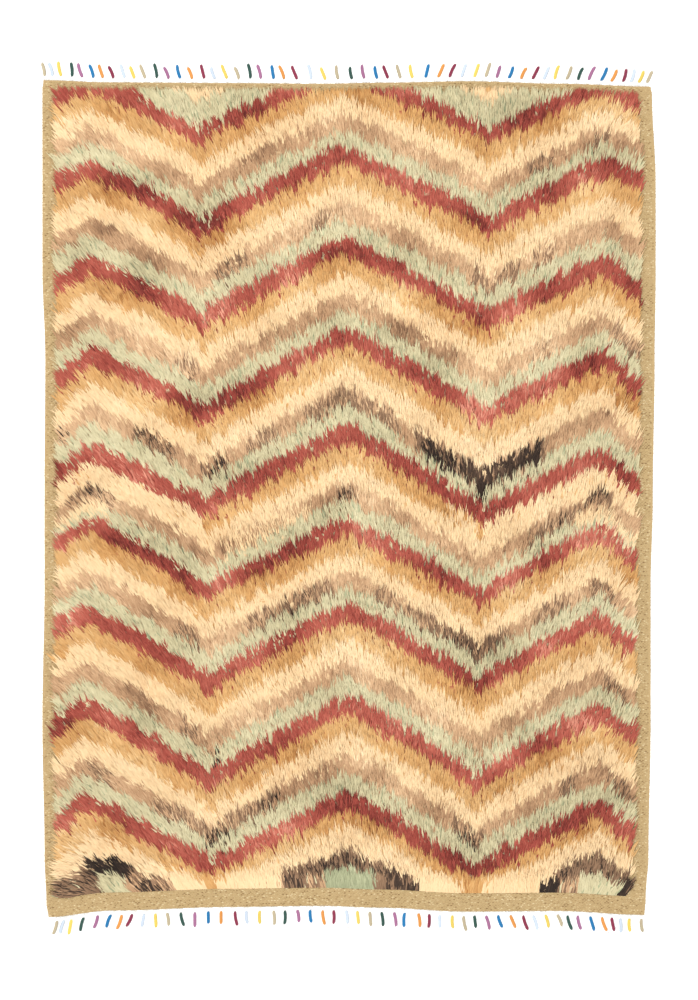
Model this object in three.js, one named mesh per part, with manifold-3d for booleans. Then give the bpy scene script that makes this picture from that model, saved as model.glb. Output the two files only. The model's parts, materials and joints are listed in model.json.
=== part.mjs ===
// A hand-knotted long-pile wool rug lying flat: a woven ground, a shag pile whose nap lies towards the
// top end, and at each end a fringe of warp ends gathered into tassels bound with thread.
// Millimetres. +X runs across the rug, +Y towards its top end and +Z up from the floor.

import * as THREE from "three";
import { mergeVertices } from "three/addons/utils/BufferGeometryUtils.js";
import Module from "manifold-3d";

const wasm = await Module();
wasm.setup();

// Driving sizes of the cloth and of the gap kept between touching pieces.
const CLOTH_WIDTH = 1700;
const CLOTH_LENGTH = 2320;
const GROUND_THICKNESS = 5;
const GROUND_EDGE_ROUND = 1.2;
const PIECE_GAP = 0.3;

// How far each side edge lies inside the widest line, by the distance along the cloth from its bottom end.
const SIDE_ROWS = [
  { along: 0, left: 17, right: 31 },
  { along: 40, left: 11, right: 28 },
  { along: 170, left: 6, right: 20 },
  { along: 545, left: 0, right: 14 },
  { along: 920, left: 6, right: 14 },
  { along: 1170, left: 6, right: 8 },
  { along: 1550, left: 8, right: 3 },
  { along: 1800, left: 0, right: 0 },
  { along: 2050, left: 0, right: 0 },
  { along: 2295, left: 0, right: 10 },
  { along: 2320, left: 3, right: 14 },
];

// How far each end edge lies inside the longest line, by the distance across the cloth from its left side.
const END_ROWS = [
  { across: 0, bottom: 0, top: 0 },
  { across: 180, bottom: 18, top: 6 },
  { across: 520, bottom: 28, top: 8 },
  { across: 780, bottom: 31, top: 10 },
  { across: 950, bottom: 26, top: 7 },
  { across: 1190, bottom: 15, top: 3 },
  { across: 1450, bottom: 17, top: 10 },
  { across: 1700, bottom: 6, top: 18 },
];

// The pile's slab: its margins to the cloth's edges, its height above the ground, and its lumps.
const PILE_MARGIN = { left: 46, right: 52, bottom: 46, top: 32 };
const PILE_HEIGHT = 15;
const PILE_RIM_HEIGHT = 8;
const PILE_RIM_FADE = 70;
const PILE_COLUMNS = 38;
const PILE_ROWS = 54;
const LUMP_ROWS = [
  { rise: 1.9, wave_across: 146, wave_along: 430, turn: 0.6 },
  { rise: 1.9, wave_across: -390, wave_along: 137, turn: 2.1 },
  { rise: 1.4, wave_across: 163, wave_along: 181, turn: 4.0 },
  { rise: 1.4, wave_across: 187, wave_along: -169, turn: 1.2 },
];

// The locks at the pile's rim: how many a side has, their lean from +Y, and how far their tips stand out.
const RIM_LOCK_ROWS = [
  { side: "left", count: 62, lean: -38, length: 62 },
  { side: "right", count: 62, lean: 32, length: 62 },
  { side: "top", count: 58, lean: -6, length: 54 },
];
const LOCK_INSET = 26;
const LOCK_SECTIONS = [
  { share: 0, width: 20, rise: 0.4, height: 7 },
  { share: 0.6, width: 15, rise: 1.2, height: 6 },
];
const LOCK_TIP_RISE = 2.2;
const LOCK_LEAN_JITTER = 9;

// The fringe: its strip of bare warps, its tassels' sections outwards from the cloth, how far each drifts
// from even spacing, and their lean from the cloth's length, positive towards +X.
const STRIP_WIDTH = 6;
const STRIP_THICKNESS = 3;
const TASSEL_ROOT = 3;
const TASSEL_END_INSET = 14;
const TASSEL_SECTIONS = [
  { reach: 0, width: 4.5, top: 2.8, height: 2.6 },
  { reach: 9, width: 8.6, top: 5.6, height: 7.4 },
  { reach: 47, width: 8.6, top: 5.6, height: 7.4 },
  { reach: 60, width: 12, top: 7, height: 3.6 },
];
const TASSEL_LEAN_JITTER = 8;
const TASSEL_PITCH_JITTER = 2.5;
const TOP_TASSEL_COUNT = 54;
const TOP_DRIFT_ROWS = [
  { index: 0, drift: -10 },
  { index: 3, drift: -29 },
  { index: 10, drift: -41 },
  { index: 20, drift: -32 },
  { index: 30, drift: 8 },
  { index: 40, drift: 24 },
  { index: 50, drift: 28 },
  { index: 53, drift: 2 },
];
const TOP_LEAN_ROWS = [
  { across: 0, lean: -12 },
  { across: 250, lean: -16 },
  { across: 1020, lean: -15 },
  { across: 1070, lean: 16 },
  { across: 1300, lean: 21 },
  { across: 1700, lean: 20 },
];
const BOTTOM_TASSEL_COUNT = 51;
const BOTTOM_DRIFT_ROWS = [
  { index: 0, drift: 14 },
  { index: 2, drift: -16 },
  { index: 5, drift: 0 },
  { index: 10, drift: -10 },
  { index: 13, drift: 8 },
  { index: 20, drift: 28 },
  { index: 30, drift: 35 },
  { index: 36, drift: 30 },
  { index: 40, drift: 30 },
  { index: 45, drift: 23 },
  { index: 50, drift: 4 },
];
const BOTTOM_LEAN_ROWS = [
  { across: 0, lean: -16 },
  { across: 250, lean: -20 },
  { across: 310, lean: 8 },
  { across: 1000, lean: 5 },
  { across: 1230, lean: 6 },
  { across: 1290, lean: 22 },
  { across: 1560, lean: 22 },
  { across: 1620, lean: 4 },
  { across: 1700, lean: 12 },
];

const EDGE_POINTS = 44;
const FULL_TURN = 2 * Math.PI;

// A fixed value from -1 to 1 for each index, so that repeated pieces are uneven in the same way each time.
function jitter(index, stream) {
  const wave = Math.sin(index * 12.9898 + stream * 78.233) * 43758.5453;
  return 2 * (wave - Math.floor(wave)) - 1;
}

// A table's column at a place between its rows, easing from row to row.
function readRows(rows, placeColumn, place, column) {
  const last = rows.length - 1;
  const next = rows.findIndex((row) => row[placeColumn] >= place);
  if (next === 0) {
    return rows[0][column];
  }
  if (next === -1) {
    return rows[last][column];
  }
  const from = rows[next - 1];
  const to = rows[next];
  const share = THREE.MathUtils.smoothstep(place, from[placeColumn], to[placeColumn]);
  return THREE.MathUtils.lerp(from[column], to[column], share);
}

// A place on the cloth, given by its distances from the left side and the bottom end, on its uneven outline.
function clothPoint(across, along) {
  const left = readRows(SIDE_ROWS, "along", along, "left");
  const right = CLOTH_WIDTH - readRows(SIDE_ROWS, "along", along, "right");
  const bottom = readRows(END_ROWS, "across", across, "bottom");
  const top = CLOTH_LENGTH - readRows(END_ROWS, "across", across, "top");
  return new THREE.Vector2(
    THREE.MathUtils.lerp(left, right, across / CLOTH_WIDTH),
    THREE.MathUtils.lerp(bottom, top, along / CLOTH_LENGTH),
  );
}

// A row of places on the cloth, from one pair of distances to another.
function clothLine(from, to, count) {
  const places = [];
  for (let i = 0; i <= count; i += 1) {
    const share = i / count;
    const across = THREE.MathUtils.lerp(from.across, to.across, share);
    const along = THREE.MathUtils.lerp(from.along, to.along, share);
    places.push(clothPoint(across, along));
  }
  return places;
}

// A closed loop along the edges between two pairs of distances, counter-clockwise seen from above.
function clothLoop(low, high, acrossPoints, alongPoints) {
  const corners = [
    { across: low.across, along: low.along },
    { across: high.across, along: low.along },
    { across: high.across, along: high.along },
    { across: low.across, along: high.along },
  ];
  const loop = [];
  corners.forEach((corner, side) => {
    const count = side % 2 === 0 ? acrossPoints : alongPoints;
    const edge = clothLine(corner, corners[(side + 1) % corners.length], count);
    loop.push(...edge.slice(0, -1));
  });
  return loop;
}

// A closed geometry as a solid for joining, and a joined solid as a geometry.
function solidFrom(geometry) {
  geometry.deleteAttribute("normal");
  geometry.deleteAttribute("uv");
  const merged = mergeVertices(geometry);
  const mesh = new wasm.Mesh({
    numProp: 3,
    vertProperties: Float32Array.from(merged.attributes.position.array),
    triVerts: Uint32Array.from(merged.index.array),
  });
  return new wasm.Manifold(mesh);
}

function geometryFrom(solid) {
  const mesh = solid.getMesh();
  const geometry = new THREE.BufferGeometry();
  geometry.setAttribute("position", new THREE.BufferAttribute(mesh.vertProperties, 3));
  geometry.setIndex(new THREE.BufferAttribute(mesh.triVerts, 1));
  geometry.computeVertexNormals();
  return geometry;
}

// A geometry from points and the triangles between them.
function geometryOf(points, triangles) {
  const geometry = new THREE.BufferGeometry().setFromPoints(points);
  geometry.setIndex(triangles);
  return geometry;
}

// A four-sided strand through its sections, each a list of four points, with a flat end or a pointed tip.
function strandGeometry(sections, tip) {
  const points = sections.flat();
  const triangles = [0, 1, 2, 0, 2, 3];
  const addSide = (a, b, c, d) => triangles.push(a, c, b, a, d, c);
  for (let section = 0; section + 1 < sections.length; section += 1) {
    for (let side = 0; side < 4; side += 1) {
      const here = section * 4;
      const ahead = here + 4;
      const beside = (side + 1) % 4;
      addSide(here + side, here + beside, ahead + beside, ahead + side);
    }
  }
  const end = (sections.length - 1) * 4;
  if (tip) {
    points.push(tip);
    for (let side = 0; side < 4; side += 1) {
      triangles.push(end + ((side + 1) % 4), end + side, points.length - 1);
    }
  } else {
    triangles.push(end, end + 2, end + 1, end, end + 3, end + 2);
  }
  return geometryOf(points, triangles);
}

// One four-point section of a strand, flat underneath, seen along the way that the strand runs.
function strandSection(start, heading, reach, floor, row) {
  const across = new THREE.Vector2(heading.y, -heading.x);
  const centre = start.clone().addScaledVector(heading, reach);
  const corner = (sideways, height) => {
    const place = centre.clone().addScaledVector(across, sideways);
    return new THREE.Vector3(place.x, place.y, floor + height);
  };
  const topHalf = (row.top ?? row.width * 0.6) / 2;
  return [
    corner(-row.width / 2, 0),
    corner(row.width / 2, 0),
    corner(topHalf, row.height),
    corner(-topHalf, row.height),
  ];
}

// The ground: a flat slab with the cloth's uneven outline and softened edges.
function groundGeometry() {
  const low = { across: 0, along: 0 };
  const high = { across: CLOTH_WIDTH, along: CLOTH_LENGTH };
  const outline = new THREE.Shape(clothLoop(low, high, EDGE_POINTS, EDGE_POINTS));
  const geometry = new THREE.ExtrudeGeometry(outline, {
    depth: GROUND_THICKNESS - 2 * GROUND_EDGE_ROUND,
    bevelEnabled: true,
    bevelThickness: GROUND_EDGE_ROUND,
    bevelSize: GROUND_EDGE_ROUND,
    bevelOffset: -GROUND_EDGE_ROUND,
    bevelSegments: 1,
  });
  return geometry.translate(0, 0, GROUND_EDGE_ROUND);
}

// The pile's height above the ground at a place on the cloth: its lumps, easing down to its rim.
function pileHeight(across, along) {
  const inset = Math.min(
    across - PILE_MARGIN.left,
    CLOTH_WIDTH - PILE_MARGIN.right - across,
    along - PILE_MARGIN.bottom,
    CLOTH_LENGTH - PILE_MARGIN.top - along,
  );
  let lumps = 0;
  for (const row of LUMP_ROWS) {
    lumps += row.rise * Math.sin(FULL_TURN * (across / row.wave_across + along / row.wave_along) + row.turn);
  }
  const share = THREE.MathUtils.smoothstep(inset, -PILE_RIM_FADE / 4, PILE_RIM_FADE);
  return THREE.MathUtils.lerp(PILE_RIM_HEIGHT, PILE_HEIGHT, share) + lumps * share;
}

// The pile's slab: a lumpy top over a flat underside.
function slabGeometry() {
  const floor = GROUND_THICKNESS + PIECE_GAP;
  const low = { across: PILE_MARGIN.left, along: PILE_MARGIN.bottom };
  const high = { across: CLOTH_WIDTH - PILE_MARGIN.right, along: CLOTH_LENGTH - PILE_MARGIN.top };
  const points = [];
  for (let row = 0; row <= PILE_ROWS; row += 1) {
    for (let column = 0; column <= PILE_COLUMNS; column += 1) {
      const across = THREE.MathUtils.lerp(low.across, high.across, column / PILE_COLUMNS);
      const along = THREE.MathUtils.lerp(low.along, high.along, row / PILE_ROWS);
      const place = clothPoint(across, along);
      points.push(new THREE.Vector3(place.x, place.y, floor + pileHeight(across, along)));
    }
  }
  const stride = PILE_COLUMNS + 1;
  const triangles = [];
  for (let row = 0; row < PILE_ROWS; row += 1) {
    for (let column = 0; column < PILE_COLUMNS; column += 1) {
      const corner = row * stride + column;
      triangles.push(corner, corner + 1, corner + stride + 1);
      triangles.push(corner, corner + stride + 1, corner + stride);
    }
  }
  const rim = [];
  for (let column = 0; column < PILE_COLUMNS; column += 1) {
    rim.push(column);
  }
  for (let row = 0; row < PILE_ROWS; row += 1) {
    rim.push(row * stride + PILE_COLUMNS);
  }
  for (let column = PILE_COLUMNS; column > 0; column -= 1) {
    rim.push(PILE_ROWS * stride + column);
  }
  for (let row = PILE_ROWS; row > 0; row -= 1) {
    rim.push(row * stride);
  }
  const underside = points.length;
  const rimOutline = rim.map((index) => new THREE.Vector2(points[index].x, points[index].y));
  rimOutline.forEach((place) => points.push(new THREE.Vector3(place.x, place.y, floor)));
  rim.forEach((index, i) => {
    const j = (i + 1) % rim.length;
    triangles.push(underside + i, underside + j, rim[j], underside + i, rim[j], index);
  });
  for (const [a, b, c] of THREE.ShapeUtils.triangulateShape(rimOutline, [])) {
    triangles.push(underside + a, underside + c, underside + b);
  }
  return geometryOf(points, triangles);
}

// Where a rim lock is rooted, for the share of the way along its side.
function rimPlace(side, share) {
  const across = THREE.MathUtils.lerp(PILE_MARGIN.left + 8, CLOTH_WIDTH - PILE_MARGIN.right - 8, share);
  const along = THREE.MathUtils.lerp(PILE_MARGIN.bottom + 14, CLOTH_LENGTH - PILE_MARGIN.top - 44, share);
  const places = {
    left: { across: PILE_MARGIN.left + LOCK_INSET, along },
    right: { across: CLOTH_WIDTH - PILE_MARGIN.right - LOCK_INSET, along },
    top: { across, along: CLOTH_LENGTH - PILE_MARGIN.top - LOCK_INSET },
  };
  return clothPoint(places[side].across, places[side].along);
}

// One lock at the pile's rim, leaning the way the nap lies there, from inside the slab to its pointed tip.
function rimLockGeometry(row, index, stream) {
  const start = rimPlace(row.side, (index + 0.5) / row.count);
  const lean = THREE.MathUtils.degToRad(row.lean + LOCK_LEAN_JITTER * jitter(index, stream));
  const length = row.length * (1 + 0.1 * jitter(index, stream + 1));
  const heading = new THREE.Vector2(Math.sin(lean), Math.cos(lean));
  const floor = GROUND_THICKNESS + PIECE_GAP;
  const sections = LOCK_SECTIONS.map((section) =>
    strandSection(start, heading, section.share * length, floor + section.rise, section),
  );
  const end = start.clone().addScaledVector(heading, length);
  return strandGeometry(sections, new THREE.Vector3(end.x, end.y, floor + LOCK_TIP_RISE));
}

function pileGeometry() {
  let pile = solidFrom(slabGeometry());
  RIM_LOCK_ROWS.forEach((row, stream) => {
    for (let index = 0; index < row.count; index += 1) {
      pile = pile.add(solidFrom(rimLockGeometry(row, index, 2 * stream)));
    }
  });
  return geometryFrom(pile);
}

// A fringe: a narrow strip along one end of the cloth with its tassels fused into it by their roots.
function fringeGeometry({ outwards, endAlong, count, driftRows, leanRows, stream }) {
  const near = endAlong + outwards * PIECE_GAP;
  const far = near + outwards * STRIP_WIDTH;
  const low = { across: 0, along: Math.min(near, far) };
  const high = { across: CLOTH_WIDTH, along: Math.max(near, far) };
  const outline = new THREE.Shape(clothLoop(low, high, EDGE_POINTS, 1));
  const strip = new THREE.ExtrudeGeometry(outline, { depth: STRIP_THICKNESS, bevelEnabled: false });
  let fringe = solidFrom(strip);
  const pitch = (CLOTH_WIDTH - 2 * TASSEL_END_INSET) / (count - 1);
  for (let index = 0; index < count; index += 1) {
    const drift = readRows(driftRows, "index", index, "drift") + TASSEL_PITCH_JITTER * jitter(index, stream);
    const across = TASSEL_END_INSET + pitch * index + drift;
    const start = clothPoint(across, near + outwards * TASSEL_ROOT);
    const leanHere = readRows(leanRows, "across", across, "lean");
    const lean = THREE.MathUtils.degToRad(leanHere + TASSEL_LEAN_JITTER * jitter(index, stream + 1));
    const heading = new THREE.Vector2(Math.sin(lean), outwards * Math.cos(lean));
    const sections = TASSEL_SECTIONS.map((row) => strandSection(start, heading, row.reach, 0, row));
    fringe = fringe.add(solidFrom(strandGeometry(sections)));
  }
  return geometryFrom(fringe);
}

function namedMesh(name, geometry, look) {
  const mesh = new THREE.Mesh(geometry, new THREE.MeshStandardMaterial({ metalness: 0, ...look }));
  mesh.name = name;
  return mesh;
}

const topFringe = {
  outwards: 1,
  endAlong: CLOTH_LENGTH,
  count: TOP_TASSEL_COUNT,
  driftRows: TOP_DRIFT_ROWS,
  leanRows: TOP_LEAN_ROWS,
  stream: 11,
};
const bottomFringe = {
  outwards: -1,
  endAlong: 0,
  count: BOTTOM_TASSEL_COUNT,
  driftRows: BOTTOM_DRIFT_ROWS,
  leanRows: BOTTOM_LEAN_ROWS,
  stream: 13,
};

const rug = new THREE.Group();
rug.add(
  namedMesh("woven_ground", groundGeometry(), { color: 0xd1b381, roughness: 0.95 }),
  namedMesh("shag_pile", pileGeometry(), { color: 0xc98f6c, roughness: 1 }),
  namedMesh("fringe_top_end", fringeGeometry(topFringe), { color: 0xe9e2d2, roughness: 0.9 }),
  namedMesh("fringe_bottom_end", fringeGeometry(bottomFringe), { color: 0xe9e2d2, roughness: 0.9 }),
);

// The rug's origin is on the floor, under the middle of its whole length and width.
const middle = new THREE.Box3().setFromObject(rug).getCenter(new THREE.Vector3());
rug.position.set(-middle.x, -middle.y, 0);

export default rug;
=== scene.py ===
"""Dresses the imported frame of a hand-knotted shag rug with its wool, its zigzag bands and its fringes.

Everything is in metres and in the frame's own axes: +X runs across the rug, +Y towards the end that the
nap points to, and +Z up from the floor. Places on the cloth are given as across, from the left selvedge,
and along, from the bottom end.
"""

import json
import logging
import math
from dataclasses import dataclass, field
from enum import Enum
from typing import Any, NamedTuple, Sequence

import bpy
import numpy as np
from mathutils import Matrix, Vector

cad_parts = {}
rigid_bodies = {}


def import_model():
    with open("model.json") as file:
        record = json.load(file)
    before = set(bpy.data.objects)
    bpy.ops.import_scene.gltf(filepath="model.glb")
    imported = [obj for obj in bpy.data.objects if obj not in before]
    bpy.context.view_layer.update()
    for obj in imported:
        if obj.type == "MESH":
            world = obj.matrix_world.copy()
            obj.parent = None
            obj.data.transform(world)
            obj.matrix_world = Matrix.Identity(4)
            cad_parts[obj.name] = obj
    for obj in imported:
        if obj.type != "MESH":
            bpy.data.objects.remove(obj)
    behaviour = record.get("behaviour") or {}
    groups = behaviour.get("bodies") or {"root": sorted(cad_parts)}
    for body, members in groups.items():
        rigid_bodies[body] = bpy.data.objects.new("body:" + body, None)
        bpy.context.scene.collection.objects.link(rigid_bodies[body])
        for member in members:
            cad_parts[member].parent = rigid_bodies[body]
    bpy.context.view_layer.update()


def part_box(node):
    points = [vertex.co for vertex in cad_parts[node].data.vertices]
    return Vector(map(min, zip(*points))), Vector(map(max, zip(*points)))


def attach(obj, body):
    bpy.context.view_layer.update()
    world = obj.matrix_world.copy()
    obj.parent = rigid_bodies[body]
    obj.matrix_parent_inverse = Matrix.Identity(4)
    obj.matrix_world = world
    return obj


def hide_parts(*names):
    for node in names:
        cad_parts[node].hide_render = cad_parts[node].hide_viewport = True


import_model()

LOG = logging.getLogger("rug")
LEAST_TONE = 0.02
SHEEN_ROUGHNESS = 0.5
WOOL_SPECULAR = 0.2

Colour = tuple[float, float, float, float]


def dye(red: int, green: int, blue: int) -> Colour:
    """Turns a dye's picture colour, 0 to 255 a channel, into the shader's linear colour.

    Args:
        red: The red channel.
        green: The green channel.
        blue: The blue channel.

    Returns:
        The linear colour, with full alpha.
    """
    channels = [value / 255.0 for value in (red, green, blue)]
    linear = [c / 12.92 if c <= 0.04045 else ((c + 0.055) / 1.055) ** 2.4 for c in channels]
    return (linear[0], linear[1], linear[2], 1.0)


def uneven(index: np.ndarray, stream: int) -> np.ndarray:
    """Gives each index its own fixed value from -1 to 1, the same one that the frame's solids use.

    Args:
        index: The numbers of the repeated pieces.
        stream: Which of the independent series to read.

    Returns:
        One value for each index.
    """
    index_step = 12.9898
    stream_step = 78.233
    spread = 43758.5453
    wave = np.sin(index * index_step + stream * stream_step) * spread
    return 2.0 * (wave - np.floor(wave)) - 1.0


def eased(share: np.ndarray) -> np.ndarray:
    """Eases shares from 0 to 1, so that they start and stop gently.

    Args:
        share: The shares.

    Returns:
        The eased shares.
    """
    return share * share * (3.0 - 2.0 * share)


def soft_noise(across: np.ndarray, along: np.ndarray, cell: float, rng: np.random.Generator) -> np.ndarray:
    """Smooth noise from -1 to 1 over the cloth.

    Args:
        across: Places across the cloth.
        along: Places along the cloth.
        cell: The distance between the noise's independent values.
        rng: The source of the values.

    Returns:
        One value for each place.
    """
    spare_cells = 2.0
    u = across / cell + spare_cells
    v = along / cell + spare_cells
    column = np.floor(u).astype(int)
    row = np.floor(v).astype(int)
    lattice = rng.uniform(-1.0, 1.0, (column.max() + 2, row.max() + 2))
    s = eased(u - column)
    t = eased(v - row)
    near = lattice[column, row] * (1.0 - s) + lattice[column + 1, row] * s
    far = lattice[column, row + 1] * (1.0 - s) + lattice[column + 1, row + 1] * s
    return near * (1.0 - t) + far * t


def eased_column(places: Sequence[float], values: Sequence[float], at: np.ndarray) -> np.ndarray:
    """Reads a short table between its rows, easing from row to row.

    Args:
        places: The rows' places, rising.
        values: The rows' values.
        at: Where to read the table.

    Returns:
        One value for each place asked for.
    """
    place = np.asarray(places, float)
    value = np.asarray(values, float)
    held = np.clip(at, place[0], place[-1])
    row = np.clip(np.searchsorted(place, held, side="left"), 1, len(place) - 1)
    share = eased((held - place[row - 1]) / (place[row] - place[row - 1]))
    return value[row - 1] + (value[row] - value[row - 1]) * share


def set_values(
    mesh: bpy.types.Mesh, name: str, kind: str, values: np.ndarray, domain: str = "POINT"
) -> None:
    """Gives a mesh one attribute.

    Args:
        mesh: The mesh.
        name: The attribute's name.
        kind: Blender's name for its kind of value.
        values: A value, or a row of values, for each point or corner.
        domain: Blender's name for what the values belong to.
    """
    column = mesh.attributes.new(name, kind, domain)
    member = {"FLOAT_VECTOR": "vector", "FLOAT_COLOR": "color"}.get(kind, "value")
    number = np.int32 if kind == "INT" else np.float32
    column.data.foreach_set(member, values.astype(number).ravel())


class Yarn(Enum):
    """The dyed wools of the pile."""

    RED = "red"
    OCHRE = "ochre"
    CREAM = "cream"
    TAUPE = "taupe"
    SAGE = "sage"
    BROWN = "brown"
    DARK = "dark"
    MOSS = "moss"


class NodeSketch:
    """Adds nodes to a tree and links them, so that a tree reads as a list of steps."""

    def __init__(self, tree: bpy.types.NodeTree) -> None:
        """Starts on a tree, without the nodes that it came with.

        Args:
            tree: The tree.
        """
        self.tree = tree
        tree.nodes.clear()

    def add(self, kind: str, inputs: dict[str | int, Any] | None = None, **settings: Any) -> bpy.types.Node:
        """Adds one node.

        Args:
            kind: Blender's name for the node.
            inputs: A value, or the socket to link, for each input by its name or number.
            **settings: The node's own properties.

        Returns:
            The node.
        """
        node = self.tree.nodes.new(kind)
        for name, value in settings.items():
            setattr(node, name, value)
        for key, value in (inputs or {}).items():
            if isinstance(value, bpy.types.NodeSocket):
                self.tree.links.new(value, node.inputs[key])
            else:
                node.inputs[key].default_value = value
        return node

    def attribute(self, name: str) -> bpy.types.Node:
        """Adds a reader of one of the piece's own attributes.

        Args:
            name: The attribute's name.

        Returns:
            The node.
        """
        return self.add("ShaderNodeAttribute", attribute_type="GEOMETRY", attribute_name=name)

    def sums(self, operation: str, *values: Any) -> bpy.types.NodeSocket:
        """Adds one step of arithmetic.

        Args:
            operation: Blender's name for the step.
            *values: The values or sockets that it takes.

        Returns:
            The result's socket.
        """
        node = self.add("ShaderNodeMath", dict(enumerate(values)), operation=operation)
        return node.outputs[0]

    def mixed(self, blend: str, share: Any, first: Any, second: Any) -> bpy.types.NodeSocket:
        """Adds a mix of two colours.

        Args:
            blend: Blender's name for the way of mixing.
            share: How much of the second colour is mixed in.
            first: The first colour.
            second: The second colour.

        Returns:
            The mixed colour's socket.
        """
        inputs = {0: share, 6: first, 7: second}
        node = self.add("ShaderNodeMix", inputs, data_type="RGBA", blend_type=blend)
        return node.outputs[2]

    def ramp(
        self, share: bpy.types.NodeSocket, stops: Sequence[tuple[float, Colour]]
    ) -> bpy.types.NodeSocket:
        """Adds a colour ramp.

        Args:
            share: Where the ramp is read, from 0 to 1.
            stops: The ramp's places and colours, two or more.

        Returns:
            The colour's socket.
        """
        node = self.add("ShaderNodeValToRGB", {0: share})
        elements = node.color_ramp.elements
        while len(elements) < len(stops):
            elements.new(0.5)
        for element, (place, colour) in zip(elements, stops):
            element.position = place
            element.color = colour
        return node.outputs[0]

    def ranged(
        self, value: Any, least: float, most: float, low: float = 0.0, high: float = 1.0
    ) -> bpy.types.NodeSocket:
        """Adds a step that turns one range of values into another.

        Args:
            value: The value or socket.
            least: The result at the low end.
            most: The result at the high end.
            low: The low end of the value.
            high: The high end of the value.

        Returns:
            The result's socket.
        """
        inputs = {"Value": value, "From Min": low, "From Max": high, "To Min": least, "To Max": most}
        return self.add("ShaderNodeMapRange", inputs).outputs["Result"]

    def fibre(self, scale: float, detail: float) -> bpy.types.NodeSocket:
        """Adds the fine pattern of a wool's fibre.

        Args:
            scale: How fine the pattern is.
            detail: How many finer patterns are in it.

        Returns:
            The pattern's socket.
        """
        place = self.add("ShaderNodeTexCoord").outputs["Object"]
        inputs = {"Vector": place, "Scale": scale, "Detail": detail}
        return self.add("ShaderNodeTexNoise", inputs).outputs["Fac"]

    def wool(
        self,
        colour: bpy.types.NodeSocket,
        fibre: bpy.types.NodeSocket,
        dullness: tuple[float, float],
        relief: tuple[float, float],
        sheen: float,
    ) -> None:
        """Adds the dull and softly shining surface that every wool has, and the tree's output.

        Args:
            colour: The wool's colour.
            fibre: The pattern of its fibre.
            dullness: The least and the most roughness.
            relief: The strength and the depth of the fibre's relief.
            sheen: How strong the sheen is.
        """
        strength, depth = relief
        bump = self.add("ShaderNodeBump", {"Height": fibre, "Strength": strength, "Distance": depth})
        shader = self.add(
            "ShaderNodeBsdfPrincipled",
            {
                "Base Color": colour,
                "Roughness": self.ranged(fibre, *dullness),
                "Normal": bump.outputs["Normal"],
                "Sheen Weight": sheen,
                "Sheen Roughness": SHEEN_ROUGHNESS,
                "Specular IOR Level": WOOL_SPECULAR,
            },
        )
        self.add("ShaderNodeOutputMaterial", {"Surface": shader.outputs["BSDF"]})


def blank_material(name: str) -> tuple[bpy.types.Material, NodeSketch]:
    """Makes a material with an empty tree.

    Args:
        name: The material's name.

    Returns:
        The material, and the sketch of its tree.
    """
    made = bpy.data.materials.new(name)
    made.use_nodes = True
    return made, NodeSketch(made.node_tree)


@dataclass(frozen=True)
class WoolFinish:
    """A spun or loose wool: its shades, darker towards each strand's root with painted shade, its fibre and
    its soft sheen.
    """

    name: str
    deep: Colour
    body: Colour
    bright: Colour
    pale: Colour
    # How far each strand is darkened towards its deep colour at the root: painted shade, not a dye.
    painted_root_shade: float = 0.25
    fibre_scale: float = 900.0
    fibre_relief: float = 0.35
    sheen: float = 0.08
    body_place: float = 0.3
    bright_place: float = 0.72
    fibre_detail: float = 2.0
    fibre_range: tuple[float, float] = (0.3, 0.7)
    streaks: tuple[float, float] = (0.9, 1.06)
    dullness: tuple[float, float] = (0.82, 0.98)
    relief_depth: float = 0.0006

    def material(self) -> bpy.types.Material:
        """Builds the wool's material from each strand's tone, darkened with painted shade by how far along
        the strand a place is, most at the root.

        Returns:
            The material.
        """
        made, sketch = blank_material(self.name)
        tone = sketch.attribute("tone").outputs["Fac"]
        reach = sketch.attribute("reach").outputs["Fac"]
        stops = (
            (0.0, self.deep),
            (self.body_place, self.body),
            (self.bright_place, self.bright),
            (1.0, self.pale),
        )
        shade = sketch.ramp(tone, stops)
        # Painted shade: the colour is mixed towards the deep shade near the root, where the locks would
        # shade each other.
        rooted = sketch.sums("MULTIPLY", sketch.sums("SUBTRACT", 1.0, reach), self.painted_root_shade)
        shaded = sketch.mixed("MIX", rooted, shade, self.deep)
        fibre = sketch.fibre(self.fibre_scale, self.fibre_detail)
        streak = sketch.ranged(fibre, *self.streaks, *self.fibre_range)
        coloured = sketch.mixed("MULTIPLY", 1.0, shaded, streak)
        sketch.wool(coloured, fibre, self.dullness, (self.fibre_relief, self.relief_depth), self.sheen)
        return made


@dataclass(frozen=True)
class DyedFinish:
    """A wool or thread in the colour of the piece's own dye attribute, with its tone and fine winding."""

    name: str
    dark_share: float = 0.82
    fibre_scale: float = 700.0
    fibre_relief: float = 0.3
    sheen: float = 0.2
    bright_share: float = 1.05
    fibre_share: float = 0.5
    tone_share: float = 0.5
    blend_range: tuple[float, float] = (0.2, 0.8)
    fibre_detail: float = 3.0
    dullness: tuple[float, float] = (0.75, 0.95)
    relief_depth: float = 0.0005

    def material(self) -> bpy.types.Material:
        """Builds the material from the dye and tone attributes.

        Returns:
            The material.
        """
        made, sketch = blank_material(self.name)
        colour = sketch.attribute("dye").outputs["Color"]
        tone = sketch.attribute("tone").outputs["Fac"]
        fibre = sketch.fibre(self.fibre_scale, self.fibre_detail)
        toned = sketch.sums("MULTIPLY", tone, self.tone_share)
        blend = sketch.sums("MULTIPLY_ADD", fibre, self.fibre_share, toned)
        strength = sketch.ranged(blend, self.dark_share, self.bright_share, *self.blend_range)
        coloured = sketch.mixed("MULTIPLY", 1.0, colour, strength)
        sketch.wool(coloured, fibre, self.dullness, (self.fibre_relief, self.relief_depth), self.sheen)
        return made


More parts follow.
